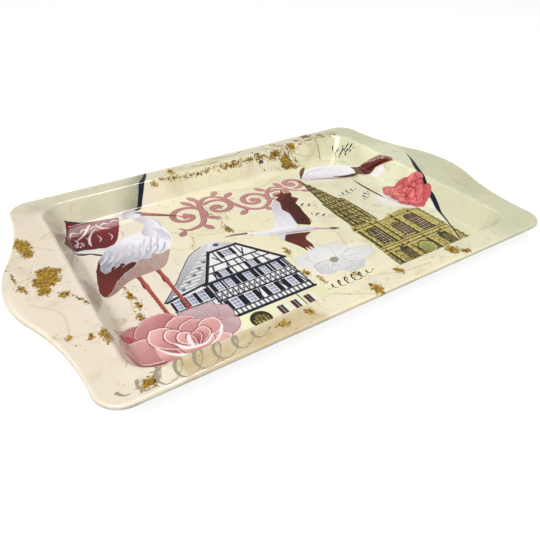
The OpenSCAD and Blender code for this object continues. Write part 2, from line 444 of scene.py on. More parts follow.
def standing_bird(p):
    """A white wading bird on long legs, its neck drawn up and its beak held to the right."""
    for knee, foot, top in ((-90.6, -89.6, -91), (-78.6, -78, -79)):
        leg = [(top, 2, 1.7), (knee, -6, 1.3), (knee, -12, 1.9), (knee + .3, -17, 1.2), (foot, -47, 1.1)]
        p.lay("coral", stroke(leg), fade(knee - 1.6, 0, knee + 1.4, 0, 0.0, 0.75))
        for k in range(9):
            p.lay("coral", line(knee - 1, -19 - 3 * k, knee + 1, -19.6 - 3 * k, .35), 0.1)
    body = patch([(-64, 51), (-58, 46), (-56, 36), (-58, 27), (-63, 18), (-68, 9), (-74, 1), (-84, -.5),
                  (-93, -1),
                  (-100, -4), (-107, -9), (-113, -10), (-114, -3), (-112, 9), (-109, 19), (-105, 28),
                  (-98, 36),
                  (-89, 41.5), (-79, 45), (-71, 47)])
    p.lay("feather", body, fade(-104, 12, -78, 36, -0.3, 1.0))
    p.lay("mauve", patch([(-64, 17), (-68, 9), (-74, 1), (-84, -.5), (-93, -1), (-100, -4), (-107, -9),
                          (-112, -9),
                          (-104, 0), (-96, 6), (-88, 11), (-84, 16), (-78, 14), (-75, 18), (-71, 15)]),
          fade(-106, -6, -70, 14, 0.2, 0.8))
    p.lay("maroon", patch([(-105, 28), (-110, 17), (-113, 4), (-114.6, -5), (-113, -10), (-108, -6),
                           (-103, 1),
                           (-96, 7), (-89, 10.5), (-86.5, 13.5), (-88, 15.5), (-92, 15), (-95.5, 19),
                           (-98, 15),
                           (-100.5, 17.5), (-102.5, 13), (-106, 12), (-107.5, 17), (-106, 22)], curved=False),
          fade(-112, -8, -98, 20, 0.9, 0.15))
    for k in range(9):
        x, y = -98 + 4.2 * k, 33 - 1.5 * (k % 3) + 0.6 * k
        p.lay("feather", stroke([(x, y, .2), (x - 3, y - 6, .6), (x - 7, y - 10, .2)]), 0.55)
        p.lay("feather", stroke([(x + 1, y - 9, .2), (x - 2, y - 15, .5), (x - 6, y - 18, .2)]), 0.3)
    neck = stroke([(-68, 71, 5.2), (-65.5, 64, 4.3), (-62.5, 57, 4.2), (-61.5, 50, 5.2), (-64, 43, 7.5)])
    p.lay("feather", neck, fade(-72, 60, -58, 56, 0.2, 0.95))
    p.lay("feather", stroke([(-58.5, 60, .2), (-57, 52, .7), (-57.5, 45, .2)]), 0.5)
    for k in range(5):
        p.lay("feather", stroke([(-63 + k, 46 - k, .2), (-62 + k, 40 - 2 * k, .5),
                                 (-64 + k, 34 - 2 * k, .2)]), 0.6)
    p.lay("feather", oval(-68.5, 71.5, 6.6, 5.2, -25), fade(-74, 75, -64, 67, 0.0, 0.75))
    p.lay("black", stroke([(-66.5, 73, .3), (-63, 70.5, 1.1), (-60, 67.5, .4)]), 0.4)
    p.lay("coral", stroke([(-61.5, 67.6, 2.2), (-54, 61.6, 1.9), (-47, 56, 1.2), (-41.5, 51.5, .4)]),
          fade(-57, 60, -54, 65, 0.1, 0.85))
    p.lay("maroon", line(-60.5, 66.6, -45, 54.6, .4), 0.2)


def volute(cx, cy, radius, start, turns, width, hand=1):
    """A spiral line that narrows as it winds in: its radius falls as a power of the angle left."""
    t = np.linspace(0, 1, 26)
    r = radius * (1 - t) ** 0.75 + radius * 0.08
    a = np.radians(start) + hand * turns * 2 * math.pi * t
    w = width * (0.25 + 0.75 * np.sin(math.pi * np.clip(0.15 + 0.85 * t, 0, 1)) ** 0.8)
    return stroke(np.stack([cx + r * np.cos(a), cy + r * np.sin(a), w / 2], 1), curved=False)


def scroll_ornament(p):
    """A dusty-rose border: a wavy stem with a spiral and a rosette in each bend, and leaves that fill the
    corners. The bends are tall at the left and lower towards the right."""
    shapes = [stroke([(-49, 36, .5), (-44, 31, 1.2), (-33, 34, 1.6), (-27, 46, 1.9), (-23, 60, 1.8),
                      (-14, 66, 1.4),
                      (-5, 60, 1.5), (-2, 47, 1.7), (4, 35, 1.5), (13, 31, 1.2), (22, 37, 1.3), (26, 47, 1.3),
                      (33, 54, 1.1), (41, 51, 1.1), (45, 43, 1.1), (52, 38, .4)])]
    for cx, cy, r, start, hand in ((-38, 49, 13, -40, 1), (-13, 49, 10.5, 128, -1), (13, 45, 10, -30, 1),
                                   (34, 42, 7.5, 120, -1), (51, 52, 8, -100, 1)):
        shapes.append(volute(cx, cy, r, start, 1.25, 3.6, hand))
        for k in range(5):
            a = 2 * math.pi * k / 5 + start
            shapes.append(petal((cx, cy), (cx + r * .34 * math.cos(a), cy + r * .34 * math.sin(a)), r * .2,
                                1.3))
    for base, tip in (((-27, 58), (-33, 70)), ((-22, 62), (-26, 74)), ((-47, 32), (-52, 26)),
                      ((-33, 33), (-30, 24)),
                      ((-28, 42), (-19, 34)), ((-4, 58), (5, 64)), ((-10, 65), (-4, 72)), ((3, 36), (-5, 30)),
                      ((14, 31), (18, 25)), ((24, 41), (31, 34)), ((28, 51), (23, 60)), ((42, 50), (40, 60)),
                      ((50, 39), (58, 34))):
        shapes.append(petal(base, tip, 4.4, 1.3))
    for shape in shapes:
        p.lay("rose", moved(shape, 0.7, -0.5), 0.0)
    for shape in shapes:
        p.lay("rose", shape, fade(-50, 30, 56, 70, 0.62, 0.95))


def lay_petal(p, shape, tone, rim=0.7, under=0.0, edge_tone=0.8, ink="petal"):
    """One petal: a dark line under it, a pale rim where there is one, and inside the rim its own colour."""
    p.lay(ink, inset(shape, -0.5), under)
    if rim:
        p.lay("blush", shape, edge_tone)
    p.lay(ink, inset(shape, rim), tone)


def pink_blossom(p):
    """A broad pink flower seen from the side of its cup: outer petals spread wide, the ones at the back
    right in greyish shade, inner ones closed round the bud, and the cup's near petals hide their feet."""
    shaded = (((-84, -66), (-60, -50), 17), ((-86, -64), (-67, -44), 15), ((-87, -64), (-77, -43), 17),
              ((-84, -72), (-60, -62), 12))
    for foot, tip, width in shaded:
        shape = petal(foot, tip, width, 1.6)
        p.lay("petal", inset(shape, -0.4), 0.4)
        p.lay("blush", shape, fade(*foot, *tip, -0.6, 0.25))
    # Foot, tip, width, tone at the foot, tone at the tip and width of the pale rim
    for foot, tip, width, deep, pale, rim in (
            ((-96, -54), (-119, -46), 17, .1, .5, .3), ((-94, -62), (-102, -38), 24, .0, .6, .3),
            ((-92, -72), (-120, -66), 17, .0, .3, .3), ((-92, -75), (-110, -82), 12, .1, .4, 0),
            ((-94, -73), (-119, -54), 18, .05, .95, .6), ((-87, -66), (-88, -44.5), 17, .1, .85, .5),
            ((-86, -76), (-69, -71), 9, .3, .95, .5), ((-92, -71), (-103, -48), 14, .1, 1.0, .6),
            ((-85, -67), (-82, -50.5), 14, .1, .8, .5), ((-83, -70), (-71, -55), 12, .25, .9, .6),
            ((-91, -69), (-96, -52), 9, .0, 1.0, .6), ((-85, -71), (-78.5, -58.5), 8, .1, .9, .5),
            ((-87, -70), (-91.4, -57), 8, .3, 1.0, .6), ((-85.5, -70), (-84, -60), 5.5, .0, .6, .4),
            ((-86.6, -70), (-88, -60.5), 3.6, .0, .8, .4)):
        lay_petal(p, petal(foot, tip, width, 1.6), fade(*foot, *tip, deep, pale), rim)
    p.lay("poppy", oval(-115, -49, 3.4, 2.6, 20), 0.4)
    near_side = patch([(-105, -62), (-101, -69), (-95, -73), (-88, -74), (-80, -73), (-74, -69), (-78, -77),
                       (-88, -79), (-98, -78), (-105, -70)])
    p.lay("petal", near_side, fade(-90, -70, -92, -80, 0.9, 0.1))
    cup = patch([(-95.4, -64), (-93, -68), (-88, -70), (-82, -70), (-77.6, -67), (-79, -71.6), (-86, -74.4),
                 (-93, -72.6)])
    lay_petal(p, cup, fade(-86, -68, -87, -76, 1.0, 0.2), rim=0)
    for lip in ([(-105, -61, .2), (-101, -67.6, .6), (-96, -72, .8), (-90, -74.6, .3)],
                [(-95.6, -63.6, .3), (-92.8, -68.2, .9), (-88, -70.2, .7), (-82, -70.4, .6),
                 (-77, -66.4, .3)],
                [(-81, -73, .2), (-74.4, -69.4, .6), (-70, -63, .4)]):
        p.lay("blush", stroke(lip), 0.95)
    p.lay("blush", stroke([(-88.6, -69, .5), (-88.8, -64.6, 1.1), (-87.6, -60.6, .4)]), 0.9)


def ruffled_blossom(p):
    """A smaller coral-pink flower of many crumpled petals, its left side lost in white mist."""
    p.soften("haze", oval(98, -9, 15, 15, 20), 9, 1.0)
    p.soften("haze", oval(106, -30, 12, 9), 8, 0.7)
    for k, (x, y) in enumerate(((96, -2), (95, -12), (99, -21), (106, -28), (101, 5))):
        p.lay("blush", petal((108, -9), (x, y), 9, 1.8), fade(108, -9, x, y, -0.2, 0.9 + 0.02 * k))
    draw = np.random.default_rng(5)
    p.lay("poppy", oval(111.5, -9, 7, 9), 0.25)
    for count, reach, width, deep, pale in ((11, 1.0, 11, .2, .7), (9, .74, 10, .2, .8), (7, .5, 8, .1, .95)):
        for k in range(count):
            a = 2 * math.pi * (k + draw.uniform(-.25, .25)) / count
            far = reach * draw.uniform(.8, 1.08) * (0.86 if math.cos(a) < -0.3 else 1.0)
            foot = (111 + 1 * math.cos(a), -9 + 1.5 * math.sin(a))
            tip = (111 + 13.5 * far * math.cos(a), -9 + 19 * far * math.sin(a))
            tone = fade(*foot, *tip, deep, pale + draw.uniform(-.15, .2))
            lay_petal(p, petal(foot, tip, width, 1.8), tone, rim=0, under=deep - 0.1, ink="poppy")
    for x, y, turn in ((102, -14, 30), (107, -19, -20), (114, -15, 70), (119, -5, 40), (106, -3, -40),
                       (109, -10, 60)):
        a = math.radians(turn)
        p.lay("poppy", petal((x, y), (x + 4.4 * math.cos(a), y + 4.4 * math.sin(a)), 3.4, 1.4), 1.0)


def sash(p, x0, x1, y0, y1):
    """A two-leaf window: a white frame and bars over lilac panes."""
    p.lay("plaster", bar(x0 - .3, y0 - .3, x1 + .3, y1 + .3), 0.95)
    middle = (x0 + x1) / 2
    p.lay("glass", bar(x0 + .2, y0 + .2, middle - .2, y1 - .2), fade(x0, y0, x1, y1, 0.9, 0.5))
    p.lay("glass", bar(middle + .2, y0 + .2, x1 - .2, y1 - .2), fade(x0, y0, x1, y1, 0.7, 0.3))
    for third in (1, 2):
        y = y0 + (y1 - y0) * third / 3
        p.lay("plaster", line(x0, y, x1, y, .4), 0.9)


def house(p):
    """A timber-framed gabled house: hatched roof slope, half-hipped gable, two shuttered storeys and a
    plain base."""
    left, right = -62, -10
    p.lay("plaster", patch([(-86, -31.5), (-62, -27), (-62, -52), (-86, -48)], curved=False), 0.85)
    for x0, x1 in ((-85.4, -83.8), (-80.2, -76), (-72, -69.4), (-65.2, -62.4)):
        p.lay("black", patch([(x0, -33.4 + (x0 + 86) * .1), (x1, -33.2 + (x1 + 86) * .1), (x1, -41.4),
                              (x0, -41.2)],
                             curved=False), 0.1)
    for x0, x1 in ((-83.6, -80.4), (-75.8, -72.2), (-69.2, -65.4)):
        sash(p, x0, x1, -41, -33.4 + (x0 + 86) * .1)
    for k in range(9):
        p.lay("black", line(-85.6 + 2.9 * k, -42, -85.6 + 2.9 * k, -46.4, .5), 0.5)
    p.lay("black", line(-86, -41.9, left, -42.6, .7), 0.3)
    # Roof slope with its courses of tiles
    p.lay("plaster", patch([(-40, 11), (-47, 8.5), (-57, 3), (-66, -7), (-76, -19), (-88, -31.5), (-76, -30),
                            (-62, -27), (-52, -9)], curved=False), fade(-80, -30, -42, 10, 0.1, 0.7))
    for k in range(12):
        x, y = -82.6 + 3.6 * k, -30 + 3.25 * k
        p.lay("black", line(x, y, x + 17.5 - 1.15 * k, y + 1.5 - .35 * k, .4), 0.9)
        p.lay("plaster", line(x + 1, y + 1.2, x + 15 - 1.1 * k, y + 2.6 - .35 * k, .5), 0.9)
    for k in range(7):
        x, y = -78 + 5.4 * k, -27.5 + 4.6 * k
        p.lay("glass", bar(x + 3, y + .5, x + 4.6, y + 2.2), 0.1)
        p.lay("black", line(x + 2.4, y + 2.6, x + 5.2, y + 2.4, .5), 0.5)
    p.lay("black", stroke([(-88, -31.8, .4), (-76, -19.2, .35), (-66, -7, .3), (-57, 3, .3),
                           (-47, 8.5, .3)]), 0.6)
    # Gable with its half hip
    p.lay("plaster", patch([(-45.5, 0), (-26.5, 0), (-10, -28), (-61, -28)], curved=False), 0.97)
    p.lay("plaster", patch([(-40, 11), (-46.5, 0), (-25.5, 0), (-32, 6)], curved=False),
          fade(-40, 10, -30, 0, .9, .4))
    p.lay("glass", oval(-37.6, 5.6, 1.8, 1.5), 0.0)
    p.lay("plaster", bar(left, -62, right, -28), 0.95)
    for y, x0, x1 in ((-14, -53, -18.5), (-20.4, -57, -15)):
        p.lay("black", line(x0, y, x1, y, 1.1), 0.35)
    for x, y0, y1 in ((-43.6, -1, -14), (-40.4, -1, -14), (-32, -1, -14), (-28.4, -1, -14), (-53.5, -21, -28),
                      (-40.8, -14, -28), (-36, -14, -28), (-32, -14, -28), (-19, -21, -28), (-24, -14, -28)):
        p.lay("black", line(x, y0, x, y1, .8), 0.45)
    for x0, y0, x1, y1 in ((-50, -14, -54, -27), (-22, -14, -17.4, -27), (-41, -15, -44.6, -27),
                           (-31, -15, -27, -27),
                           (-43, -13, -46, -6), (-28.6, -13, -25.4, -6)):
        p.lay("black", line(x0, y0, x1, y1, .75), 0.45)
    for x0, x1, y0, y1 in ((-38.6, -33.6, -9.4, -2.6), (-49.4, -45.6, -26.6, -20.8),
                           (-30.2, -26.6, -26.6, -20.8)):
        p.lay("black", bar(x0 - 2.6, y0 - .2, x1 + 2.6, y1 + .2), 0.1)
        sash(p, x0, x1, y0, y1)
    # Upper storey: windows set in a row of closed shutters
    p.lay("black", bar(left + .8, -37.8, right - 1, -28.8), 0.1)
    for x in (-60.9, -52.3, -43.3, -30.8, -21.6, -12.4):
        p.lay("plaster", bar(x - .3, -37.8, x + .3, -28.8), 0.7)
    for x0, x1 in ((-57.6, -54.2), (-50.8, -47.4), (-38.8, -34.6), (-27.6, -24), (-19.4, -15.8)):
        sash(p, x0, x1, -37.2, -30)
    # Railing
    p.lay("plaster", bar(left, -46, right, -37.9), 0.95)
    for k in range(15):
        x = left + 1.4 + 3.5 * k
        p.lay("black", line(x, -38.4, x, -45.6, .75), 0.45)
        p.lay("black", line(x + .5, -45.4, x + 2.7, -40, .5), 0.6)
    for y, wide in ((-38.6, .7), (-42.2, .4), (-45.9, 1.2)):
        p.lay("black", line(left - .5, y, right + .5, y, wide), 0.3)
    # Lower storey
    for x0, x1 in ((-57, -52.6), (-47.6, -43.4), (-33.4, -29.4), (-20.4, -16.4)):
        p.lay("black", bar(x0 - 3.6, -55.8, x1 + 3.6, -47), 0.1)
        p.lay("plaster", bar(x0 - .5, -55.6, x1 + .5, -47), 0.9)
        sash(p, x0, x1, -55.2, -47.4)
    for x0, y0, x1, y1 in ((-38.4, -47, -40.8, -56), (-25.4, -47, -23, -56), (-12.6, -47, -11, -56)):
        p.lay("black", line(x0, y0, x1, y1, .8), 0.45)
    for k in range(19):
        x = left + 1 + 2.8 * k
        p.lay("black", line(x, -56.4, x, -60.6, .75), 0.45)
    for y, wide in ((-56.4, .9), (-61.4, 2.0)):
        p.lay("black", line(left - .5, y, right + .5, y, wide), 0.3)
    for x0, y0, x1, y1, wide in ((-46, 0, -26, 0, 2.0), (-45.5, .6, -61, -28, 1.9),
                                 (-26.5, .6, -8.4, -28.6, 2.2),
                                 (left - 1, -28.4, right + 2, -28.4, 2.0), (-86.6, -32, left, -27.4, 1.6),
                                 (left, -28, left, -61, .9), (right, -28, right, -61, .8)):
        p.lay("black", line(x0, y0, x1, y1, wide), 0.3)
    # Ground floor: lime-washed, with an arched door
    p.lay("lime", bar(left, -75.4, right + 4, -62.4), fade(-60, 0, -12, 0, 0.9, 0.5))
    p.lay("umber", both(oval(-50.5, -70, 6.0, 6.4), bar(-57, -75.2, -44, -60)), 0.0)
    p.lay("ochre", both(oval(-50.5, -71, 4.2, 4.6), bar(-56, -75.2, -46, -60)),
          fade(-50, -75, -50, -67, .6, 0))
    for k in range(4):
        p.lay("umber", line(-53.6 + 2.1 * k, -75, -53.6 + 2.1 * k, -67, .5), 0.1)
    for x0, x1 in ((-38.8, -33.6), (-30, -25), (-21.6, -16.4)):
        p.lay("plaster", bar(x0 - .8, -74.4, x1 + .8, -65.4), 0.9)
        p.lay("maroon", bar(x0, -73.8, x0 + 1.9, -66), 0.35)
        p.lay("umber", bar(x0 + 2.2, -73.8, x1 - 1.4, -66), 0.1)
    p.lay("moss", line(-23.4, -62.6, -23.4, -75, .8), 0.3)


def tower(p):
    """A pierced stone spire on a broad buttressed front, in ochre with umber tracery."""
    top, low = -25, -76
    p.lay("ochre", patch([(59, 57), (60.6, 44), (63, 34), (65.4, 25), (66.4, 15), (70, 12), (71, -6),
                          (71, top),
                          (49.5, top), (50, -4), (51.6, 12), (54, 15), (55, 26), (57.2, 38)], curved=False),
          fade(50, 0, 71, 0, -0.1, 0.5))
    for x0, x1, y1 in ((58.6, 53.2, 14), (59.2, 60, 14), (59.8, 65, 14)):
        p.lay("umber", stroke([(x0, 48, .2), ((x0 + x1) / 2, 30, .55), (x1, y1, .6)]), 0.15)
    for x, wide in ((51.4, .7), (54.4, 1.1), (57.6, .6), (60.4, 1.4), (64.2, .7), (67.4, .9), (70, .5)):
        p.lay("umber", line(x, 12, x, top, 1.25 * wide), 0.05)
    for k in range(17):
        y = 43 - 4.1 * k - 1.2 * (k % 3)
        half = min(2.0 + (43 - y) * .16, 9.6)
        p.lay("umber", line(59.4 - half, y, 60.4 + half, y - .6, .6), 0.5)
        for m in range(-2, 3):
            x = 60 + m * half * .42
            p.lay("ochre", oval(x + .7, y - 1.6, .75, .8), 1.0)
            p.lay("umber", oval(x - .3, y - 2.6, .5, 1.1), 0.05)
    p.lay("ochre", patch([(46.5, -26), (54, -24), (62, top), (72, -27), (80, -25), (92, -22.6), (98, -24),
                          (105, -29), (104.5, -52), (106, low), (44, low), (45.5, -60), (47, -44)],
                          curved=False),
          fade(46, -70, 104, -30, 0.25, 0.8))
    p.lay("ochre", bar(97.4, -51, 104.2, -30), 0.75)
    for x, wide in ((48.9, 1.5), (62.4, 1.5), (67.4, .9), (81, 1.8), (96.2, 1.6), (104.4, .8)):
        p.lay("umber", line(x, -26, x, low, 1.2 * wide), 0.0)
        p.lay("ochre", line(x + wide * .5 + .7, -27, x + wide * .5 + .7, low, .8), 1.0)
        for k in range(11):
            p.lay("umber", line(x - 1.7, -29 - 4.3 * k, x + 1.7, -29.4 - 4.3 * k, .5), 0.4)
        p.lay("ochre", patch([(x - 1.8, -26), (x, -20.6), (x + 1.8, -26)], curved=False), 0.7)
    for y in (-28.4, -52.6, -54.6, -58):
        p.lay("umber", line(46, y, 104, y, .7), 0.35)
        p.lay("ochre", line(46, y - 1.1, 104, y - 1.1, .8), 1.0)
    for cx, y0, y1 in ((56.8, -51, -34), (76, -50, -37), (91.2, -52, -33)):
        p.lay("umber", bar(cx - 4.2, y0, cx + 4.2, y1), 0.35)
        p.lay("umber", oval(cx, y1, 4.2, 3.0), 0.35)
        for k in range(4):
            x = cx - 3 + 2 * k
            p.lay("umber", bar(x - .6, y0 + .4, x + .6, y1), 0.0)
            p.lay("mauve", line(x + 1, y0 + .4, x + 1, y1 + .6, .45), 0.5)
        for k in range(5):
            p.lay("ochre", line(cx - 4, y0 + 2.4 + 3 * k, cx + 4, y0 + 2.4 + 3 * k, .35), 0.7)
    for cx in (59.4, 92.6):
        p.lay("umber", bar(cx - 3.2, low, cx + 3.2, -64), 0.3)
        p.lay("umber", patch([(cx - 3.2, -64), (cx - 2.2, -60.4), (cx, -58), (cx + 2.2, -60.4),
                              (cx + 3.2, -64)]), 0.3)
        for k in range(4):
            p.lay("umber", line(cx - 2.4 + 1.6 * k, low, cx - 2.4 + 1.6 * k, -61.6, .7), 0.0)
            p.lay("ochre", line(cx - 1.6 + 1.6 * k, low, cx - 1.6 + 1.6 * k, -62.6, .4), 0.6)
    p.lay("umber", oval(74.2, -67, 6.2, 6.6), 0.2)
    p.lay("ochre", oval(74.2, -67, 5.4, 5.8), 0.9)
    p.lay("moss", oval(74.2, -67, 4.6, 5.0), fade(70, -70, 77, -64, 0.3, 1.0))
    for k in range(3):
        a = math.radians(20 + 60 * k)
        dx, dy = 4.6 * math.cos(a), 5 * math.sin(a)
        p.lay("umber", line(74.2 - dx, -67 - dy, 74.2 + dx, -67 + dy, .4), 0.8)


def gliding_bird(p):
    """A white bird on the wing, seen from the side, with both dark-tipped wings spread."""
    p.lay("feather", patch([(-1, 1), (6, 5), (11, 12), (15, 21), (19, 29), (27, 38), (33, 42), (30, 20),
                            (24, 0),
                            (12, -6)], curved=False), fade(0, 2, 26, 30, 1.0, 0.5))
    p.lay("maroon", patch([(20.6, -1), (22.6, 7), (24.4, 14), (23, 21), (27.4, 31), (26.6, 36), (31, 38),
                           (30, 42),
                           (35, 42), (38.5, 47), (38, 41), (43, 39), (40, 34), (42.5, 29), (36.6, 24),
                           (35.6, 17),
                           (33.6, 10), (31.8, 2), (29.4, -4.6), (26.8, -6.4)], curved=False),
          fade(22, -2, 38, 42, 0.2, 0.65))
    for k in range(6):
        p.lay("maroon", line(24.4 + 1.3 * k, 2 - k, 30 + 1.9 * k, 31 + 1.6 * k, .4), 0.0)
    p.lay("feather", patch([(0, -2), (8, -7), (23, -14), (16, -17), (12, -21), (9, -15), (2, -12)],
                           curved=False), .6)
    p.lay("maroon", patch([(6.4, -8), (14, -10.4), (22.6, -13.8), (16.2, -16.6), (14, -20), (14.4, -26),
                           (12.6, -31.4),
                           (11, -27), (10.2, -32.6), (8.8, -26.4), (7.4, -32), (6.2, -25), (4.4, -20),
                           (2, -13.4)],
                          curved=False), fade(4, -10, 12, -32, 0.3, 0.8))
    p.lay("feather", stroke([(-15, 7.4, .9), (-8, 4, 1.2), (0, -.6, 2.6), (9, -3.6, 3.8), (18, -7.4, 3.2),
                             (27, -12, 1.6), (35, -16.6, .9)]), fade(6, -8, 8, 0, 0.35, 1.0))
    p.lay("mauve", stroke([(4, -5, .2), (14, -8.4, .7), (25, -13, .3)]), 0.7)
    p.lay("umber", stroke([(-28.5, 10.6, .3), (-22, 9.6, .8), (-14.5, 7, 1.0)]), 0.8)
    p.lay("coral", stroke([(26, -11.4, .5), (33, -15.4, .5), (36, -17, .6)]), 0.9)
    p.lay("umber", stroke([(36, -17, .9), (38, -18.4, 1.3), (41.4, -20, .3)]), 0.5)


def rising_bird(p):
    """A white bird that climbs to the left, its broad wings folded over its back."""
    p.lay("maroon", stroke([(63, 54.4, .5), (67, 60, 1.2), (72, 66, 1.8), (77, 70, .8)]), 0.35)
    p.lay("feather", patch([(64, 55), (70, 61), (77, 66), (86, 66.5), (96, 63), (105, 58), (111, 52),
                            (112, 46),
                            (106, 42), (98, 41), (89, 41.5), (80, 45), (71, 47.5), (65.5, 50)]),
          fade(74, 44, 80, 54, 0.45, 1.0))
    p.lay("mauve", stroke([(66, 50, .3), (76, 46, 1.2), (88, 40, 1.6), (100, 36, 1.0), (110, 32, .3)]), 0.9)
    p.lay("mauve", stroke([(87, 44, .4), (92, 40.6, 1.5), (100, 38, 1.8), (106, 37, .6)]), -0.4)
    p.lay("maroon", patch([(88, 42), (93, 38.4), (100, 36.6), (106, 36.6), (111, 33), (118, 31), (121, 26),
                           (124, 19), (126.4, 24), (123.6, 33), (119, 42), (114, 47.5), (109.4, 51),
                           (108.6, 45),
                           (106, 40), (98, 40.4)], curved=False), fade(92, 40, 125, 26, 0.0, 1.0))
    p.lay("mauve", stroke([(116.5, 45, .2), (121.4, 36, .9), (124.4, 27, .8), (124.6, 20, .2)]), 0.1)
    p.lay("feather", patch([(112, 31), (117, 29), (120, 24), (117, 22), (114, 26)]), 0.85)
    p.soften("haze", oval(84, 44, 24, 8, -12), 6, 0.8)
    for k in range(4):
        p.lay("maroon", line(110 + 2.6 * k, 46 - 3.6 * k, 116 + 2.4 * k, 35 - 3.4 * k, .45), 0.0)
    p.lay("feather", stroke([(66, 56, .3), (76, 61, .6), (90, 60, .3)]), 0.7)
    p.lay("maroon", stroke([(95.6, 30, .5), (95.2, 15, .9), (95.8, 0, .7), (96, -6, .2)]), 0.5)


def white_blossom(p):
    """A loose white flower of broad petals round a small grey eye, bluish underneath."""
    p.soften("haze", oval(17, -47, 27, 17), 7, 0.8)
    for foot, tip, width, middle, rim in (
            ((16, -50), (-6, -35), 15, 1.0, .8), ((18, -50), (26, -31.5), 17, 1.0, .8),
            ((16, -50), (8, -31), 18, 1.0, .85), ((18, -46), (26, -62), 20, .95, .6),
            ((14, -47), (0, -55), 13, .95, .6), ((17, -50), (43, -49), 14, 1.0, .75),
            ((15, -46), (14, -59), 15, 1.0, .7)):
        shape = petal(foot, tip, width, 1.5)
        p.lay("plaster", inset(shape, -0.4), rim - .3)
        p.lay("plaster", shape, fade(*foot, *tip, middle, rim))
    for reach, turn in ((13, 205), (15, 235), (14, 262), (15, 292), (17, 322), (18, 345)):
        c, s = math.cos(math.radians(turn)), math.sin(math.radians(turn))
        p.lay("plaster", stroke([(15 + 5 * c, -47 + 4 * s, .2),
                                 (15 + reach * c, -47 + reach * .6 * s, .35)]), 0.7)
    p.lay("script", oval(15, -47.4, 2.9, 2.5, 30), 0.4)
    p.lay("plaster", oval(11.4, -51.6, 1.2, .9), 0.6)


def pen_loops(p, name, x, y, pitch, size, count, half, turn=0.0, tone=0.3):
    """A pen flourish of even running loops, like a drawn-out spring: x = pitch t - size sin(2 pi t),
    y = size cos(2 pi t), slanted forward, with a size that grows to the middle and dies away."""
    t = np.linspace(0, count, 14 * count)
    swell = size * (0.15 + 0.85 * np.sin(math.pi * t / count))
    v = swell * np.cos(2 * math.pi * t)
    u = pitch * t - 0.62 * swell * np.sin(2 * math.pi * t) + 0.35 * v
    c, s = math.cos(math.radians(turn)), math.sin(math.radians(turn))
    pen = half * (0.75 + 0.45 * np.sin(2 * math.pi * t + 0.8))
    p.lay(name, stroke(np.stack([x + u * c - v * s, y + u * s + v * c, pen], 1), curved=False), tone)


def pen_flourishes(p):
    """Black pen loops on the floor and at the back, and pencil-grey ones along the front flange."""
    pen_loops(p, "black", -7, -68, 5.0, 3.4, 7, .42)
    for x, y, pitch, size, count, turn in ((35, 22, 4.6, 2.6, 3, -38), (37, 6, 4.2, 2.4, 3, -52),
                                           (70, 16, 4.6, 2.8, 4, 8),
                                           (82, 2, 4.4, 2.8, 3, 38), (40, 90, 4.0, 2.6, 3, -70),
                                           (113, 80, 4.4, 2.6, 4, -70), (119, 74, 4.0, 2.2, 3, -80)):
        pen_loops(p, "black", x, y, pitch, size, count, .4, turn, 0.8)
    for route in ([(60, 96), (66, 86), (72, 76)], [(52, 92), (60, 84), (64, 74)],
                  [(74, 92), (70, 80), (80, 74)],
                  [(96, 96), (100, 84), (98, 76)], [(6, 96), (24, 93), (34, 97)],
                  [(-12, 92), (0, 88), (10, 90)]):
        p.lay("script", stroke([(x, y, .4) for x, y in route]), 0.0)
    pen_loops(p, "script", -133, -92.5, 9.2, 6.6, 8, .7, 0, 0.4)


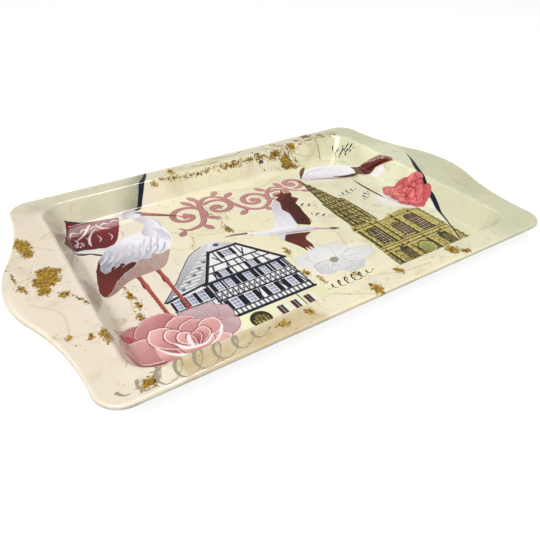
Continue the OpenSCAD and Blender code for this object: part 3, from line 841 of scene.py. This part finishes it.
def gold_flakes(p):
    """Gold leaf: solid hearts whose outline the finish tears into flakes, and thin broken trails between
    them."""
    for cx, cy, rx, ry, turn in (
            (-142, 44, 4, 8, 10), (-141, 34, 3, 5, 0), (-137, 10, 4, 5, 20), (-138, 2, 6, 6, -10),
            (-141, -6, 3, 4, 0),
            (-133, 8, 3, 4, 0), (-151, 2, 1.6, 3, 0), (-133, -15, 2.4, 2.4, 0), (-124.6, -55, 2.2, 5, 0),
            (-140, -48, 1.6, 2, 0), (-131, -53, 1.2, 1.6, 0), (-119, -93, 4, 2.6, 30), (-111, -80, 1.4, 6, 0),
            (-101.4, -15, 1.8, 4.4, 10), (-100, -25, 2, 3, 0), (-102.8, -35, 1.6, 4, 0),
            (64, -92, 3.4, 4, 20),
            (69, -96, 4, 1.6, -20), (3, -96, 2.6, 4.6, 0), (-37, -92, 2, 2.6, 0), (-52, -93, 3, 2, 0),
            (24, -90, 2, 2.4, 0), (58, 84, 7, 1.8, 4), (66, 79, 4.6, 4, 0), (71, 75, 3, 2.6, 0),
            (75, 87, 3, 3, 0),
            (95, 95, 4.4, 3, 0), (84, 91, 3, 1.6, 0), (108, 91, 2.2, 2.6, 0), (44, 84.6, 5, 1.3, 0),
            (20, 84.4, 10, 1.2, 2), (-29, 92, 1.8, 4.4, 0), (-45, 85, 2, 1.4, 0), (-22, 18.4, 2, 4.4, 0),
            (-4, -25, 1.6, 5, -10), (-7.4, -49, 1.8, 2.8, 0), (-3.4, -60, 1.2, 3.4, 0),
            (16.6, -65, 1.2, 4, 0)):
        p.lay("leaf", oval(cx, cy, 1.2 * rx + 0.3, 1.2 * ry + 0.3, turn), 0.5)
    for cx, cy, rx, ry in ((-143, 18, 13, 17), (-134, 2, 12, 12), (-128, -54, 10, 8), (-112, -92, 16, 5),
                           (68, 82, 14, 10), (100, 92, 16, 6), (20, 86, 40, 5), (-30, 92, 12, 7),
                           (40, -94, 50, 5),
                           (-60, -93, 40, 6), (-22, 40, 6, 26), (-102, -24, 6, 16), (66, -93, 10, 6)):
        p.lay("leaf", flecked(oval(cx, cy, rx, ry)))
    for trail in (((-152.8, 26), (-152.6, 14), (-151, 4), (-149, -4)),
                  ((-136, -11), (-129, -18), (-125, -28)),
                  ((-101.6, -6), (-99.4, -24), (-103.6, -36)), ((-111, -74), (-112, -84), (-117, -94)),
                  ((-40, 86), (-16, 84.4), (10, 85), (40, 84.4), (62, 84)),
                  ((-24, 66), (-23, 48), (-21, 30), (-22, 18)),
                  ((60, 98), (68, 88), (76, 78)), ((82, 86), (98, 88), (120, 86))):
        p.lay("leaf", stroke([(x, y, .8) for x, y in trail]), 0.3)


def print_picture(x, y):
    """Prints the whole picture on one piece's points, from the back of the picture to the front."""
    p = Plates(x, y)
    ground_washes(p)
    gold_flakes(p)
    pen_flourishes(p)
    scroll_ornament(p)
    stamp(p)
    tower(p)
    house(p)
    white_blossom(p)
    gliding_bird(p)
    rising_bird(p)
    ribbon(p)
    ruffled_blossom(p)
    standing_bird(p)
    pink_blossom(p)
    return p


# ---- Meshes ----

def put_mesh(name, points, faces, plates):
    """Makes a mesh object from points in millimetres, with the plates as attributes. It is smooth but for
    its rims, so the neighbours' shading meets across them."""
    mesh = bpy.data.meshes.new(name)
    mesh.from_pydata(points * MM, [], faces)
    mesh.set_sharp_from_angle(angle=math.radians(40))
    values = {"ink_" + ink: plates.ink[ink] for ink in INKS}
    values.update({"wash_" + wash: plates.wash[wash] for wash in WASHES})
    values["tone"] = plates.tone
    for title, field in values.items():
        layer = mesh.attributes.new(title, "FLOAT", "POINT")
        layer.data.foreach_set("value", field.astype(np.float32))
    mesh.validate()
    piece = bpy.data.objects.new(name, mesh)
    bpy.context.scene.collection.objects.link(piece)
    return piece


def place(piece, material):
    """Gives a printed piece its finish and its place in the frame."""
    piece.data.materials.append(material)
    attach(piece, BODY)
    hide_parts("print_coat")


def grid_faces(rows, columns, close_rows, close_columns):
    """The quads of a grid of points, row by row, wrapped round where asked."""
    i = np.arange(rows if close_rows else rows - 1)[:, None]
    j = np.arange(columns if close_columns else columns - 1)[None, :]
    down, over = (i + 1) % rows, (j + 1) % columns
    quads = np.stack([i * columns + j + 0 * i, i * columns + over, down * columns + over,
                      down * columns + j], -1)
    return quads.reshape(-1, 4)


def floor_mesh(tray, part, parts):
    """One of the side-by-side parts of the printed floor: an even grid over a rectangle, whose corner
    squares are carried onto quarter discs by x' = x sqrt(1 - y^2 / 2) and y' = y sqrt(1 - x^2 / 2). One
    flat face closes the underside."""
    half_l, half_w, r = tray.half_l - tray.lap, tray.half_w - tray.lap, tray.corner_r - tray.lap
    start = -half_l + 2 * half_l * part / parts
    end = -half_l + 2 * half_l * (part + 1) / parts
    columns = int((end - start) / tray.step) + 1
    rows = int(2 * half_w / tray.step) + 1
    y, x = np.meshgrid(np.linspace(-half_w, half_w, rows), np.linspace(start, end, columns), indexing="ij")
    u = np.clip((np.abs(x) - (half_l - r)) / r, 0, 1)
    v = np.clip((np.abs(y) - (half_w - r)) / r, 0, 1)
    corner = (u > 0) & (v > 0)
    x = np.where(corner, np.sign(x) * (half_l - r + r * u * np.sqrt(1 - v * v / 2)), x)
    y = np.where(corner, np.sign(y) * (half_w - r + r * v * np.sqrt(1 - u * u / 2)), y)
    top = np.stack([x.ravel(), y.ravel(), np.full(x.size, tray.floor_z + tray.coat)], 1)
    index = np.arange(rows * columns).reshape(rows, columns)
    rim = np.concatenate([index[0, :-1], index[:-1, -1], index[-1, :0:-1], index[:0:-1, 0]])
    below = top[rim] - (0, 0, tray.coat)
    base = len(top) + np.arange(len(rim))
    sides = np.stack([rim, base, np.roll(base, -1), np.roll(rim, -1)], 1)
    faces = grid_faces(rows, columns, False, False).tolist() + sides.tolist() + [base[::-1].tolist()]
    return np.vstack([top, below]), faces


def around(quarter_points, quarter_normals):
    """Mirrors a quarter of a loop, from the back's middle to the right end's middle, into the whole loop."""
    def whole(q, flip_end):
        right = np.vstack([q, (q[:-1] * (1, -1))[::-1]])
        return np.vstack([right[:-1], (right * (-1, 1))[::-1][:-1]]) if flip_end else right
    return whole(quarter_points, True), whole(quarter_normals, True)


def arc(at, radius, start, end, count):
    """Points and outward directions along an arc, between two angles in degrees."""
    a = np.radians(np.linspace(start, end, count))
    out = np.stack([np.cos(a), np.sin(a)], 1)
    return np.array(at) + radius * out, out


def opening_quarter(tray, counts):
    """The flat floor's outline in the back right quarter, with as many points as the outer edge's
    stretches."""
    side, corner, end = counts
    centre = (tray.half_l - tray.corner_r, tray.half_w - tray.corner_r)
    xs = np.linspace(0, centre[0], side)[:-1]
    back = np.stack([xs, np.full(len(xs), tray.half_w)], 1)
    bend, out = arc(centre, tray.corner_r, 90, 0, corner)
    ys = np.linspace(centre[1], 0, end)[1:]
    right = np.stack([np.full(len(ys), tray.half_l), ys], 1)
    normals = np.vstack([np.tile((0.0, 1.0), (len(back), 1)), out, np.tile((1.0, 0.0), (len(right), 1))])
    return np.vstack([back, bend, right]), normals


def edge_quarter(tray, counts):
    """The tray's outer edge in the back right quarter: side, corner, hollow and crest, each arc tangent to
    the next."""
    side, corner, end = counts
    centre = np.array([tray.out_l - tray.bulge - tray.out_corner, tray.out_w - tray.out_corner])
    crest_at = (tray.out_l - tray.crest_r, 0)
    hollow_at = (centre[0] + tray.out_corner + tray.hollow_r, centre[1])
    sweep = math.degrees(math.atan2(hollow_at[1], hollow_at[0] - crest_at[0]))
    xs = np.linspace(0, centre[0], side)[:-1]
    back = np.stack([xs, np.full(len(xs), tray.out_w)], 1)
    bend, out = arc(centre, tray.out_corner, 90, 0, corner)
    in_hollow = round((end - 1) * tray.hollow_r / (tray.hollow_r + tray.crest_r))
    hollow, inward = arc(hollow_at, tray.hollow_r, 180, 180 + sweep, in_hollow + 1)
    crest, crest_out = arc(crest_at, tray.crest_r, sweep, 0, end - in_hollow)
    points = np.vstack([back, bend, hollow[1:], crest[1:]])
    normals = np.vstack([np.tile((0.0, 1.0), (len(back), 1)), out, -inward[1:], crest_out[1:]])
    return points, normals


def loop_counts(tray):
    """How many points the side, the corner and the end of a quarter take."""
    return int(tray.half_l / tray.loop_step) + 20, 26, int(tray.half_w / tray.loop_step) + 6


def wall_profile(tray, offset, slope_rows):
    """The wall's section at an offset over the sheet: flat lap, floor bend, slope, flange bend and flat
    lap."""
    w = np.radians(np.linspace(0, tray.slope_deg, 9))
    low_r, high_r = tray.floor_r - offset, tray.flange_r + offset
    floor_s, floor_z = low_r * np.sin(w), tray.floor_z + tray.floor_r - low_r * np.cos(w)
    flange_s = tray.spread - high_r * np.sin(w[::-1])
    flange_z = tray.flange_z - tray.flange_r + high_r * np.cos(w[::-1])
    t = np.linspace(0, 1, slope_rows + 2)[1:-1]
    slope_s = floor_s[-1] + (flange_s[0] - floor_s[-1]) * t
    slope_z = floor_z[-1] + (flange_z[0] - floor_z[-1]) * t
    s = np.concatenate([[-tray.lap], floor_s, slope_s, flange_s, [tray.spread + tray.lap]])
    z = np.concatenate([[floor_z[0]], floor_z, slope_z, flange_z, [flange_z[-1]]])
    return s, z


def wall_mesh(tray):
    """The printed wall: a closed section carried round the floor's outline along its outward direction."""
    points, normals = around(*opening_quarter(tray, loop_counts(tray)))
    over_s, over_z = wall_profile(tray, tray.coat, 20)
    under_s, under_z = wall_profile(tray, 0.0, 4)
    s = np.concatenate([over_s, under_s[::-1]])
    z = np.concatenate([over_z, under_z[::-1]])
    plan = points[None] + normals[None] * s[:, None, None]
    grid = np.concatenate([plan, np.broadcast_to(z[:, None, None], plan.shape[:2] + (1,))], -1)
    return grid.reshape(-1, 3), grid_faces(len(s), len(points), True, True).tolist()


def flange_mesh(tray):
    """The printed flange and bead. Each section runs straight from the opening to the edge, then round the
    bead by the angle that is printed, and back along its underside."""
    counts = loop_counts(tray)
    inner, inner_out = around(*opening_quarter(tray, counts))
    inner = inner + inner_out * (tray.spread + tray.lap)
    edge, out = around(*edge_quarter(tray, counts))
    line_at = edge - out * (tray.bead_r + tray.coat)
    across = np.linspace(0, 1, 42)[:, None, None]
    flat = inner * (1 - across) + line_at * across
    turn = np.radians(90 - np.linspace(0, tray.turn, 13)[1:])[:, None, None]
    bead_z = tray.flange_z - tray.bead_r
    wrap = line_at + out * (tray.bead_r + tray.coat) * np.cos(turn)
    wrap_z = bead_z + (tray.bead_r + tray.coat) * np.sin(turn)
    back = turn[::-2]
    under = line_at + out * tray.bead_r * np.cos(back)
    under_z = bead_z + tray.bead_r * np.sin(back)
    ends = np.stack([line_at, inner])
    plan = np.concatenate([flat, wrap, under, ends])
    z = np.concatenate([np.full((len(flat), 1, 1), tray.flange_z + tray.coat), wrap_z, under_z,
                        np.full((2, 1, 1), tray.flange_z)])
    grid = np.concatenate([plan, np.broadcast_to(z, plan.shape[:2] + (1,))], -1)
    return grid.reshape(-1, 3), grid_faces(len(plan), plan.shape[1], True, True).tolist()


def bead_wear_and_shade(tray, points):
    """How far the print thins over the curl, showing grey tin, and how much painted shade the curl takes:
    none on top, rising as the surface turns outwards and under.
    """
    drop = (tray.flange_z + tray.coat - points[:, 2]) / (tray.bead_r + tray.coat)
    return 0.85 * np.clip((drop - 0.25) / 0.6, 0, 1)


def printed_piece(name, mesh, material, bead_tin_and_shade=0.0):
    points, faces = mesh
    plates = print_picture(points[:, 0], points[:, 1])
    # The curl's painted shade, with the grey of tin where its print thins, goes into this wash
    plates.wash["bead_tin_and_shade"] += bead_tin_and_shade
    piece = put_mesh(name, points, faces, plates)
    place(piece, material)
    return piece


# ---- Materials ----

RGBA = {"data_type": "RGBA"}
STEP = {"interpolation_type": "SMOOTHSTEP"}
SUM, PRODUCT = ({"operation": name} for name in ("ADD", "MULTIPLY"))


def new_material(name):
    material = bpy.data.materials.new(name)
    material.use_nodes = True
    tree = material.node_tree
    return material, tree, tree.nodes["Principled BSDF"]


def add(tree, kind, settings=None, out=0, **inputs):
    """Adds a node and hands back one of its outputs. Settings are the node's own properties; inputs are
    values or other nodes' outputs, by the socket's name with an underscore for a space, or by its place
    after an underscore."""
    node = tree.nodes.new(kind)
    for key, value in (settings or {}).items():
        setattr(node, key, value)
    for key, value in inputs.items():
        socket = node.inputs[int(key[1:])] if key[0] == "_" else node.inputs[key.replace("_", " ")]
        if isinstance(value, bpy.types.NodeSocket):
            tree.links.new(value, socket)
        else:
            socket.default_value = (*value, 1.0) if socket.type == "RGBA" else value
    return node.outputs[out]


def per_mm(size):
    """The scale of a pattern whose features are this many millimetres across."""
    return 1 / (size * MM)


def printed_varnish(colours):
    """Offset-printed tinplate under a clear stoving varnish: the inks lie flat and matt, and all the gloss
    is the varnish's, slightly rippled like orange peel over a sheet that is not quite flat."""
    material, tree, shader = new_material("Printed tinplate under clear varnish")
    place_at = add(tree, "ShaderNodeTexCoord", out="Object")
    names = ("tone", *("wash_" + wash for wash in WASHES), *("ink_" + ink for ink in INKS))
    plate = {name: add(tree, "ShaderNodeAttribute", {"attribute_name": name}, out="Fac") for name in names}
    streaked_at = add(tree, "ShaderNodeMapping", Vector=place_at, Rotation=(0, 0, math.radians(-42)),
                      Scale=(1.0, 0.16, 1.0))
    # Size in millimetres, detail, roughness and distortion of each pattern
    grains = {"broad": (60, 3, 0.5, 0), "cloudy": (14, 5, 0.6, 0), "grain": (1.6, 4, 0.65, 0),
              "flake": (2.4, 8, 0.74, 0.9), "speckle": (1.1, 2, 0.6, 0), "patchy": (26, 4, 0.55, 0.4)}
    noise = {name: add(tree, "ShaderNodeTexNoise", Vector=place_at, Scale=per_mm(size), Detail=detail,
                       Roughness=rough, Distortion=distortion)
             for name, (size, detail, rough, distortion) in grains.items()}
    noise["streak"] = add(tree, "ShaderNodeTexNoise", Vector=streaked_at, Scale=per_mm(1.1), Detail=3,
                          Roughness=0.55)

    # The ground: three creams along the tray, clouded, with broken veins
    along = add(tree, "ShaderNodeSeparateXYZ", Vector=place_at, out="X")
    shift = add(tree, "ShaderNodeMapRange", Value=noise["broad"], To_Min=-0.11, To_Max=0.11)
    drift = add(tree, "ShaderNodeMath", SUM, _0=along, _1=shift)
    to_middle = add(tree, "ShaderNodeMapRange", STEP, Value=drift, From_Min=-0.10, From_Max=-0.02)
    ground = add(tree, "ShaderNodeMix", RGBA, out=2, _0=to_middle, _6=colours.ground_left,
                 _7=colours.ground_middle)
    to_right = add(tree, "ShaderNodeMapRange", STEP, Value=drift, From_Min=0.01, From_Max=0.10)
    ground = add(tree, "ShaderNodeMix", RGBA, out=2, _0=to_right, _6=ground, _7=colours.ground_right)
    pinkish = add(tree, "ShaderNodeMapRange", STEP, Value=noise["patchy"], From_Min=0.5, From_Max=0.72,
                  To_Max=0.6)
    ground = add(tree, "ShaderNodeMix", RGBA, out=2, _0=pinkish, _6=ground, _7=colours.ground_left)
    greenish = add(tree, "ShaderNodeMapRange", STEP, Value=noise["patchy"], From_Min=0.28, From_Max=0.45,
                   To_Min=0.6,
                   To_Max=0.0)
    ground = add(tree, "ShaderNodeMix", RGBA, out=2, _0=greenish, _6=ground, _7=colours.ground_right)
    swirl = add(tree, "ShaderNodeTexNoise", Vector=place_at, Scale=per_mm(16), Detail=4, out="Color")
    pushed = add(tree, "ShaderNodeVectorMath", {"operation": "SCALE"}, _0=swirl, Scale=0.016)
    crack_at = add(tree, "ShaderNodeVectorMath", SUM, _0=place_at, _1=pushed)
    cracks = add(tree, "ShaderNodeTexVoronoi", {"feature": "DISTANCE_TO_EDGE"}, Scale=per_mm(34),
                 Vector=crack_at)
    edge = add(tree, "ShaderNodeMapRange", STEP, Value=cracks, From_Max=0.02, To_Min=0.8, To_Max=0.0)
    here = add(tree, "ShaderNodeMapRange", STEP, Value=noise["cloudy"], From_Min=0.46, From_Max=0.64)
    vein = add(tree, "ShaderNodeMath", PRODUCT, _0=edge, _1=here)
    ground = add(tree, "ShaderNodeMix", RGBA, out=2, _0=vein, _6=ground, _7=colours.vein)
    cloud = add(tree, "ShaderNodeMapRange", STEP, Value=noise["cloudy"], From_Min=0.48, From_Max=0.75,
                To_Max=0.34)
    ground = add(tree, "ShaderNodeMix", RGBA, out=2, _0=cloud, _6=ground, _7=colours.vein)
    broken = add(tree, "ShaderNodeMapRange", STEP, Value=noise["cloudy"], From_Min=0.25, From_Max=0.7,
                 To_Min=1.0,
                 To_Max=0.55)
    # The soft washes; among them are painted shade on the well's walls and on the bead's curl
    for wash in WASHES:
        strength = add(tree, "ShaderNodeMath", PRODUCT, _0=plate["wash_" + wash], _1=broken)
        ground = add(tree, "ShaderNodeMix", RGBA, out=2, _0=strength, _6=ground, _7=getattr(colours, wash))

    # The inks, each between its two tones, with the grain of what it pictures: its pattern and how far it
    # swings
    toned = {"leaf": ("grain", 3.4), "ochre": ("speckle", 3.4), "umber": ("speckle", 1.6),
             "wine": ("cloudy", 1.3),
             "feather": ("streak", 0.5), "mauve": ("streak", 0.9), "maroon": ("streak", 0.7),
             "petal": ("cloudy", 0.5), "poppy": ("grain", 0.9), "plaster": ("grain", 0.35),
             "rose": ("grain", 0.7)}
    # How its outline is torn: the pattern, its reach in millimetres, and the level at which it neither
    # adds nor takes
    torn = {"leaf": ("flake", 13.0, 0.54), "wine": ("grain", 1.2, 0.5), "feather": ("streak", 0.8, 0.5),
            "mauve": ("streak", 1.8, 0.5), "maroon": ("streak", 1.0, 0.5), "ochre": ("grain", 0.8, 0.5),
            "umber": ("grain", 0.6, 0.5), "script": ("grain", 0.9, 0.5)}
    picture = ground
    for ink in INKS:
        tone = plate["tone"]
        if ink in toned:
            pattern, swing = toned[ink]
            change = add(tree, "ShaderNodeMapRange", Value=noise[pattern], To_Min=-swing / 2,
                         To_Max=swing / 2)
            tone = add(tree, "ShaderNodeMath", SUM, _0=tone, _1=change)
        depth = plate["ink_" + ink]
        if ink in torn:
            pattern, reach, level = torn[ink]
            wobble = add(tree, "ShaderNodeMapRange", Value=noise[pattern], To_Min=-reach * level,
                         To_Max=reach * (1 - level))
            depth = add(tree, "ShaderNodeMath", SUM, _0=depth, _1=wobble)
        clamped = add(tree, "ShaderNodeClamp", Value=tone)
        pigment = add(tree, "ShaderNodeMix", RGBA, out=2, _0=clamped, _6=getattr(colours, ink + "_dark"),
                      _7=getattr(colours, ink + "_light"))
        inside = add(tree, "ShaderNodeMapRange", STEP, Value=depth, From_Min=-0.12, From_Max=0.12)
        picture = add(tree, "ShaderNodeMix", RGBA, out=2, _0=inside, _6=picture, _7=pigment)
    tree.links.new(picture, shader.inputs["Base Color"])

    shader.inputs["Roughness"].default_value = 0.5
    shader.inputs["Specular IOR Level"].default_value = 0.1
    shader.inputs["Coat Weight"].default_value = 1.0
    shader.inputs["Coat Roughness"].default_value = 0.1
    shader.inputs["Coat IOR"].default_value = 1.5
    slack = add(tree, "ShaderNodeTexNoise", Vector=place_at, Scale=per_mm(70), Detail=1)
    peel = add(tree, "ShaderNodeTexNoise", Vector=place_at, Scale=per_mm(2.2), Detail=1)
    sheet = add(tree, "ShaderNodeBump", Strength=0.35, Distance=1.2 * MM, Height=slack)
    rippled = add(tree, "ShaderNodeBump", Strength=0.12, Distance=0.04 * MM, Height=peel, Normal=sheet)
    tree.links.new(rippled, shader.inputs["Normal"])
    tree.links.new(rippled, shader.inputs["Coat Normal"])
    return material


def lacquered_tinplate(colours):
    """Bright tinplate under a thin lacquer: mirror-like but softened by fine rolling lines along the
    sheet."""
    material, tree, shader = new_material("Lacquered tinplate")
    place_at = add(tree, "ShaderNodeTexCoord", out="Object")
    rolled_at = add(tree, "ShaderNodeMapping", Vector=place_at, Scale=(0.02, 1.0, 1.0))
    rolling = add(tree, "ShaderNodeTexNoise", Vector=rolled_at, Scale=per_mm(0.5), Detail=3)
    blotches = add(tree, "ShaderNodeTexNoise", Vector=place_at, Scale=per_mm(9), Detail=4, Roughness=0.6)
    dulled = add(tree, "ShaderNodeMapRange", STEP, Value=blotches, From_Min=0.35, From_Max=0.7, To_Max=0.35)
    sheet = add(tree, "ShaderNodeMix", RGBA, out=2, _0=dulled, _6=colours.tinplate, _7=colours.tinplate_dull)
    tree.links.new(sheet, shader.inputs["Base Color"])
    shader.inputs["Metallic"].default_value = 1.0
    satin = add(tree, "ShaderNodeMapRange", STEP, Value=rolling, From_Min=0.3, From_Max=0.7, To_Min=0.24,
                To_Max=0.36)
    tree.links.new(satin, shader.inputs["Roughness"])
    shader.inputs["Coat Weight"].default_value = 0.4
    shader.inputs["Coat Roughness"].default_value = 0.12
    lines = add(tree, "ShaderNodeBump", Strength=0.15, Distance=0.03 * MM, Height=rolling)
    tree.links.new(lines, shader.inputs["Normal"])
    return material


def matt_paper(colours):
    """White paper lit from behind: its fibres are barely seen, and shadows on it stay faint."""
    material, tree, shader = new_material("Matt paper sweep")
    place_at = add(tree, "ShaderNodeTexCoord", out="Object")
    fibre = add(tree, "ShaderNodeTexNoise", Vector=place_at, Scale=per_mm(3), Detail=3)
    thin = add(tree, "ShaderNodeMapRange", STEP, Value=fibre, From_Min=0.3, From_Max=0.7, To_Max=0.02)
    for socket, shown in (("Base Color", colours.backdrop_unlit), ("Emission Color", colours.backdrop)):
        pulp = add(tree, "ShaderNodeMix", RGBA, out=2, _0=thin, _6=shown, _7=colours.backdrop_unlit)
        tree.links.new(pulp, shader.inputs[socket])
    shader.inputs["Emission Strength"].default_value = 0.8
    shader.inputs["Roughness"].default_value = 0.9
    return material


def shared_print(scene):
    name = "Printed tinplate under clear varnish"
    return bpy.data.materials.get(name) or printed_varnish(scene.tray_print)


# ---- Operators ----

class TRAY_OT_printed_floor(bpy.types.Operator):
    """Print the flat floor of the well"""
    bl_idname = "tray.printed_floor"
    bl_label = "Printed floor"

    def execute(self, context):
        tray = tray_sizes(context.scene.tray_sizes)
        for part, side in enumerate(("left", "middle", "right")):
            printed_piece("printed_floor_" + side, floor_mesh(tray, part, 3), shared_print(context.scene))
        return {"FINISHED"}


class TRAY_OT_printed_wall(bpy.types.Operator):
    """Print the sloping wall of the well with its two bends"""
    bl_idname = "tray.printed_wall"
    bl_label = "Printed wall"

    def execute(self, context):
        tray = tray_sizes(context.scene.tray_sizes)
        printed_piece("printed_wall", wall_mesh(tray), shared_print(context.scene))
        return {"FINISHED"}


class TRAY_OT_printed_flange(bpy.types.Operator):
    """Print the flange, its wings and the outside of the bead"""
    bl_idname = "tray.printed_flange"
    bl_label = "Printed flange"

    def execute(self, context):
        tray = tray_sizes(context.scene.tray_sizes)
        mesh = flange_mesh(tray)
        printed_piece("printed_flange", mesh, shared_print(context.scene), bead_wear_and_shade(tray, mesh[0]))
        return {"FINISHED"}


class TRAY_OT_tinplate(bpy.types.Operator):
    """Finish the pressed sheet as bright lacquered tinplate"""
    bl_idname = "tray.tinplate"
    bl_label = "Tinplate"

    def execute(self, context):
        finish = lacquered_tinplate(context.scene.tray_stage)
        for name in ("floor_panel", "well_wall", "wing_flange", "rolled_edge"):
            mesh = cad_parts[name].data
            mesh.materials.clear()
            mesh.materials.append(finish)
        return {"FINISHED"}


# The stage's floor in metres: just under the tray, level to the first radius, then rising to its rim
SWEEP_LOW, SWEEP_FLAT, SWEEP_REACH, SWEEP_RISE = -0.0002, 4.0, 7.0, 1.3
SWEEP_SPOKES = 64
SWEEP_RINGS = 9
WORLD_STRENGTH = 0.2
# Each lamp's name, its place and its two sides in metres, and its power in watts; all face the origin
LAMPS = (
    ("key", (-1.15, -0.8, 1.4), (1.1, 1.1), 29.0),
    ("overhead", (0.22, 0.12, 1.4), (0.55, 0.22), 7.0),
    ("rear_strip", (-0.55, 1.3, 1.15), (0.9, 0.3), 1.6))
# The camera: degrees round and up, metres from the point it faces, and where that point lies over the well
AZIMUTH, ELEVATION, DISTANCE = -32.56, 35.51, 0.2760
FACING = (-0.03426, -0.05263)
# Its sensor's width and its lens, in millimetres
SENSOR, FOCAL_LENGTH = 36.0, 34.2


def aim(thing, at, target):
    thing.location = at
    thing.rotation_euler = (Vector(target) - Vector(at)).to_track_quat("-Z", "Y").to_euler()


def soft_light(name, at, target, size, power):
    data = bpy.data.lights.new(name, "AREA")
    data.shape = "RECTANGLE"
    data.size, data.size_y = size
    data.energy = power
    lamp = bpy.data.objects.new(name, data)
    bpy.context.scene.collection.objects.link(lamp)
    aim(lamp, at, target)


def sweep_mesh(low, flat, reach, rise):
    """The stage's floor, a wide dish: level out to one radius, then its height grows as the square of the
    way to its rim, z = low + rise ((r - flat) / (reach - flat))^2."""
    radius = np.concatenate([[0.0, flat / 2], np.linspace(flat, reach, SWEEP_RINGS)])
    height = low + rise * ((radius - flat) / (reach - flat)).clip(0) ** 2
    angle = np.linspace(0, 2 * math.pi, SWEEP_SPOKES, endpoint=False)
    points = np.stack([np.outer(np.cos(angle), radius[1:]), np.outer(np.sin(angle), radius[1:]),
                       np.tile(height[1:], (SWEEP_SPOKES, 1))], -1).reshape(-1, 3)
    rings = len(radius) - 1
    faces = grid_faces(SWEEP_SPOKES, rings, True, False)
    centre = len(points)
    spokes = [(centre, k * rings, (k + 1) % SWEEP_SPOKES * rings) for k in range(SWEEP_SPOKES)]
    mesh = bpy.data.meshes.new("sweep")
    mesh.from_pydata(np.vstack([points, [(0, 0, low)]]).tolist(), [], faces.tolist() + spokes)
    return mesh


class TRAY_OT_stage(bpy.types.Operator):
    """Set the pale floor, the soft lights and the camera"""
    bl_idname = "tray.stage"
    bl_label = "Stage"

    def execute(self, context):
        scene = context.scene
        mesh = sweep_mesh(SWEEP_LOW, SWEEP_FLAT, SWEEP_REACH, SWEEP_RISE)
        mesh.materials.append(matt_paper(scene.tray_stage))
        sweep = bpy.data.objects.new("sweep", mesh)
        scene.collection.objects.link(sweep)

        world = bpy.data.worlds.new("Studio")
        world.use_nodes = True
        world.node_tree.nodes["Background"].inputs["Color"].default_value = (*scene.tray_stage.daylight, 1.0)
        world.node_tree.nodes["Background"].inputs["Strength"].default_value = WORLD_STRENGTH
        scene.world = world
        for name, at, size, power in LAMPS:
            soft_light(name, at, (0, 0, 0), size, power)

        azimuth, elevation = math.radians(AZIMUTH), math.radians(ELEVATION)
        target = Vector((*FACING, COAT_HIGH.z))
        back = Vector((math.sin(azimuth) * math.cos(elevation), -math.cos(azimuth) * math.cos(elevation),
                       math.sin(elevation)))
        lens = bpy.data.cameras.new("camera")
        lens.sensor_width = SENSOR
        lens.lens = FOCAL_LENGTH
        lens.clip_start = 0.01
        camera = bpy.data.objects.new("camera", lens)
        scene.collection.objects.link(camera)
        aim(camera, target + back * DISTANCE, target)
        scene.camera = camera
        scene.view_settings.view_transform = "Standard"
        return {"FINISHED"}


class TRAY_PT_panel(bpy.types.Panel):
    """Lists the tray's pieces and settings"""
    bl_idname = "TRAY_PT_panel"
    bl_label = "Tray"
    bl_space_type = "VIEW_3D"
    bl_region_type = "UI"
    bl_category = "Tray"

    def draw(self, context):
        for step in STEPS:
            self.layout.operator(step.bl_idname)
        for group in (context.scene.tray_sizes, context.scene.tray_print, context.scene.tray_stage):
            column = self.layout.column()
            for name in group.bl_rna.properties.keys():
                if name not in ("rna_type", "name"):
                    column.prop(group, name)


STEPS = (TRAY_OT_printed_floor, TRAY_OT_printed_wall, TRAY_OT_printed_flange, TRAY_OT_tinplate, TRAY_OT_stage)
CLASSES = (TraySizes, PrintColours, MetalAndStage, *STEPS, TRAY_PT_panel)


def register():
    for item in CLASSES:
        bpy.utils.register_class(item)
    bpy.types.Scene.tray_sizes = PointerProperty(type=TraySizes)
    bpy.types.Scene.tray_print = PointerProperty(type=PrintColours)
    bpy.types.Scene.tray_stage = PointerProperty(type=MetalAndStage)


def unregister():
    del bpy.types.Scene.tray_stage
    del bpy.types.Scene.tray_print
    del bpy.types.Scene.tray_sizes
    for item in reversed(CLASSES):
        bpy.utils.unregister_class(item)


def main():
    register()
    bpy.ops.tray.printed_floor()
    bpy.ops.tray.printed_wall()
    bpy.ops.tray.printed_flange()
    bpy.ops.tray.tinplate()
    bpy.ops.tray.stage()


if __name__ == "__main__":
    main()
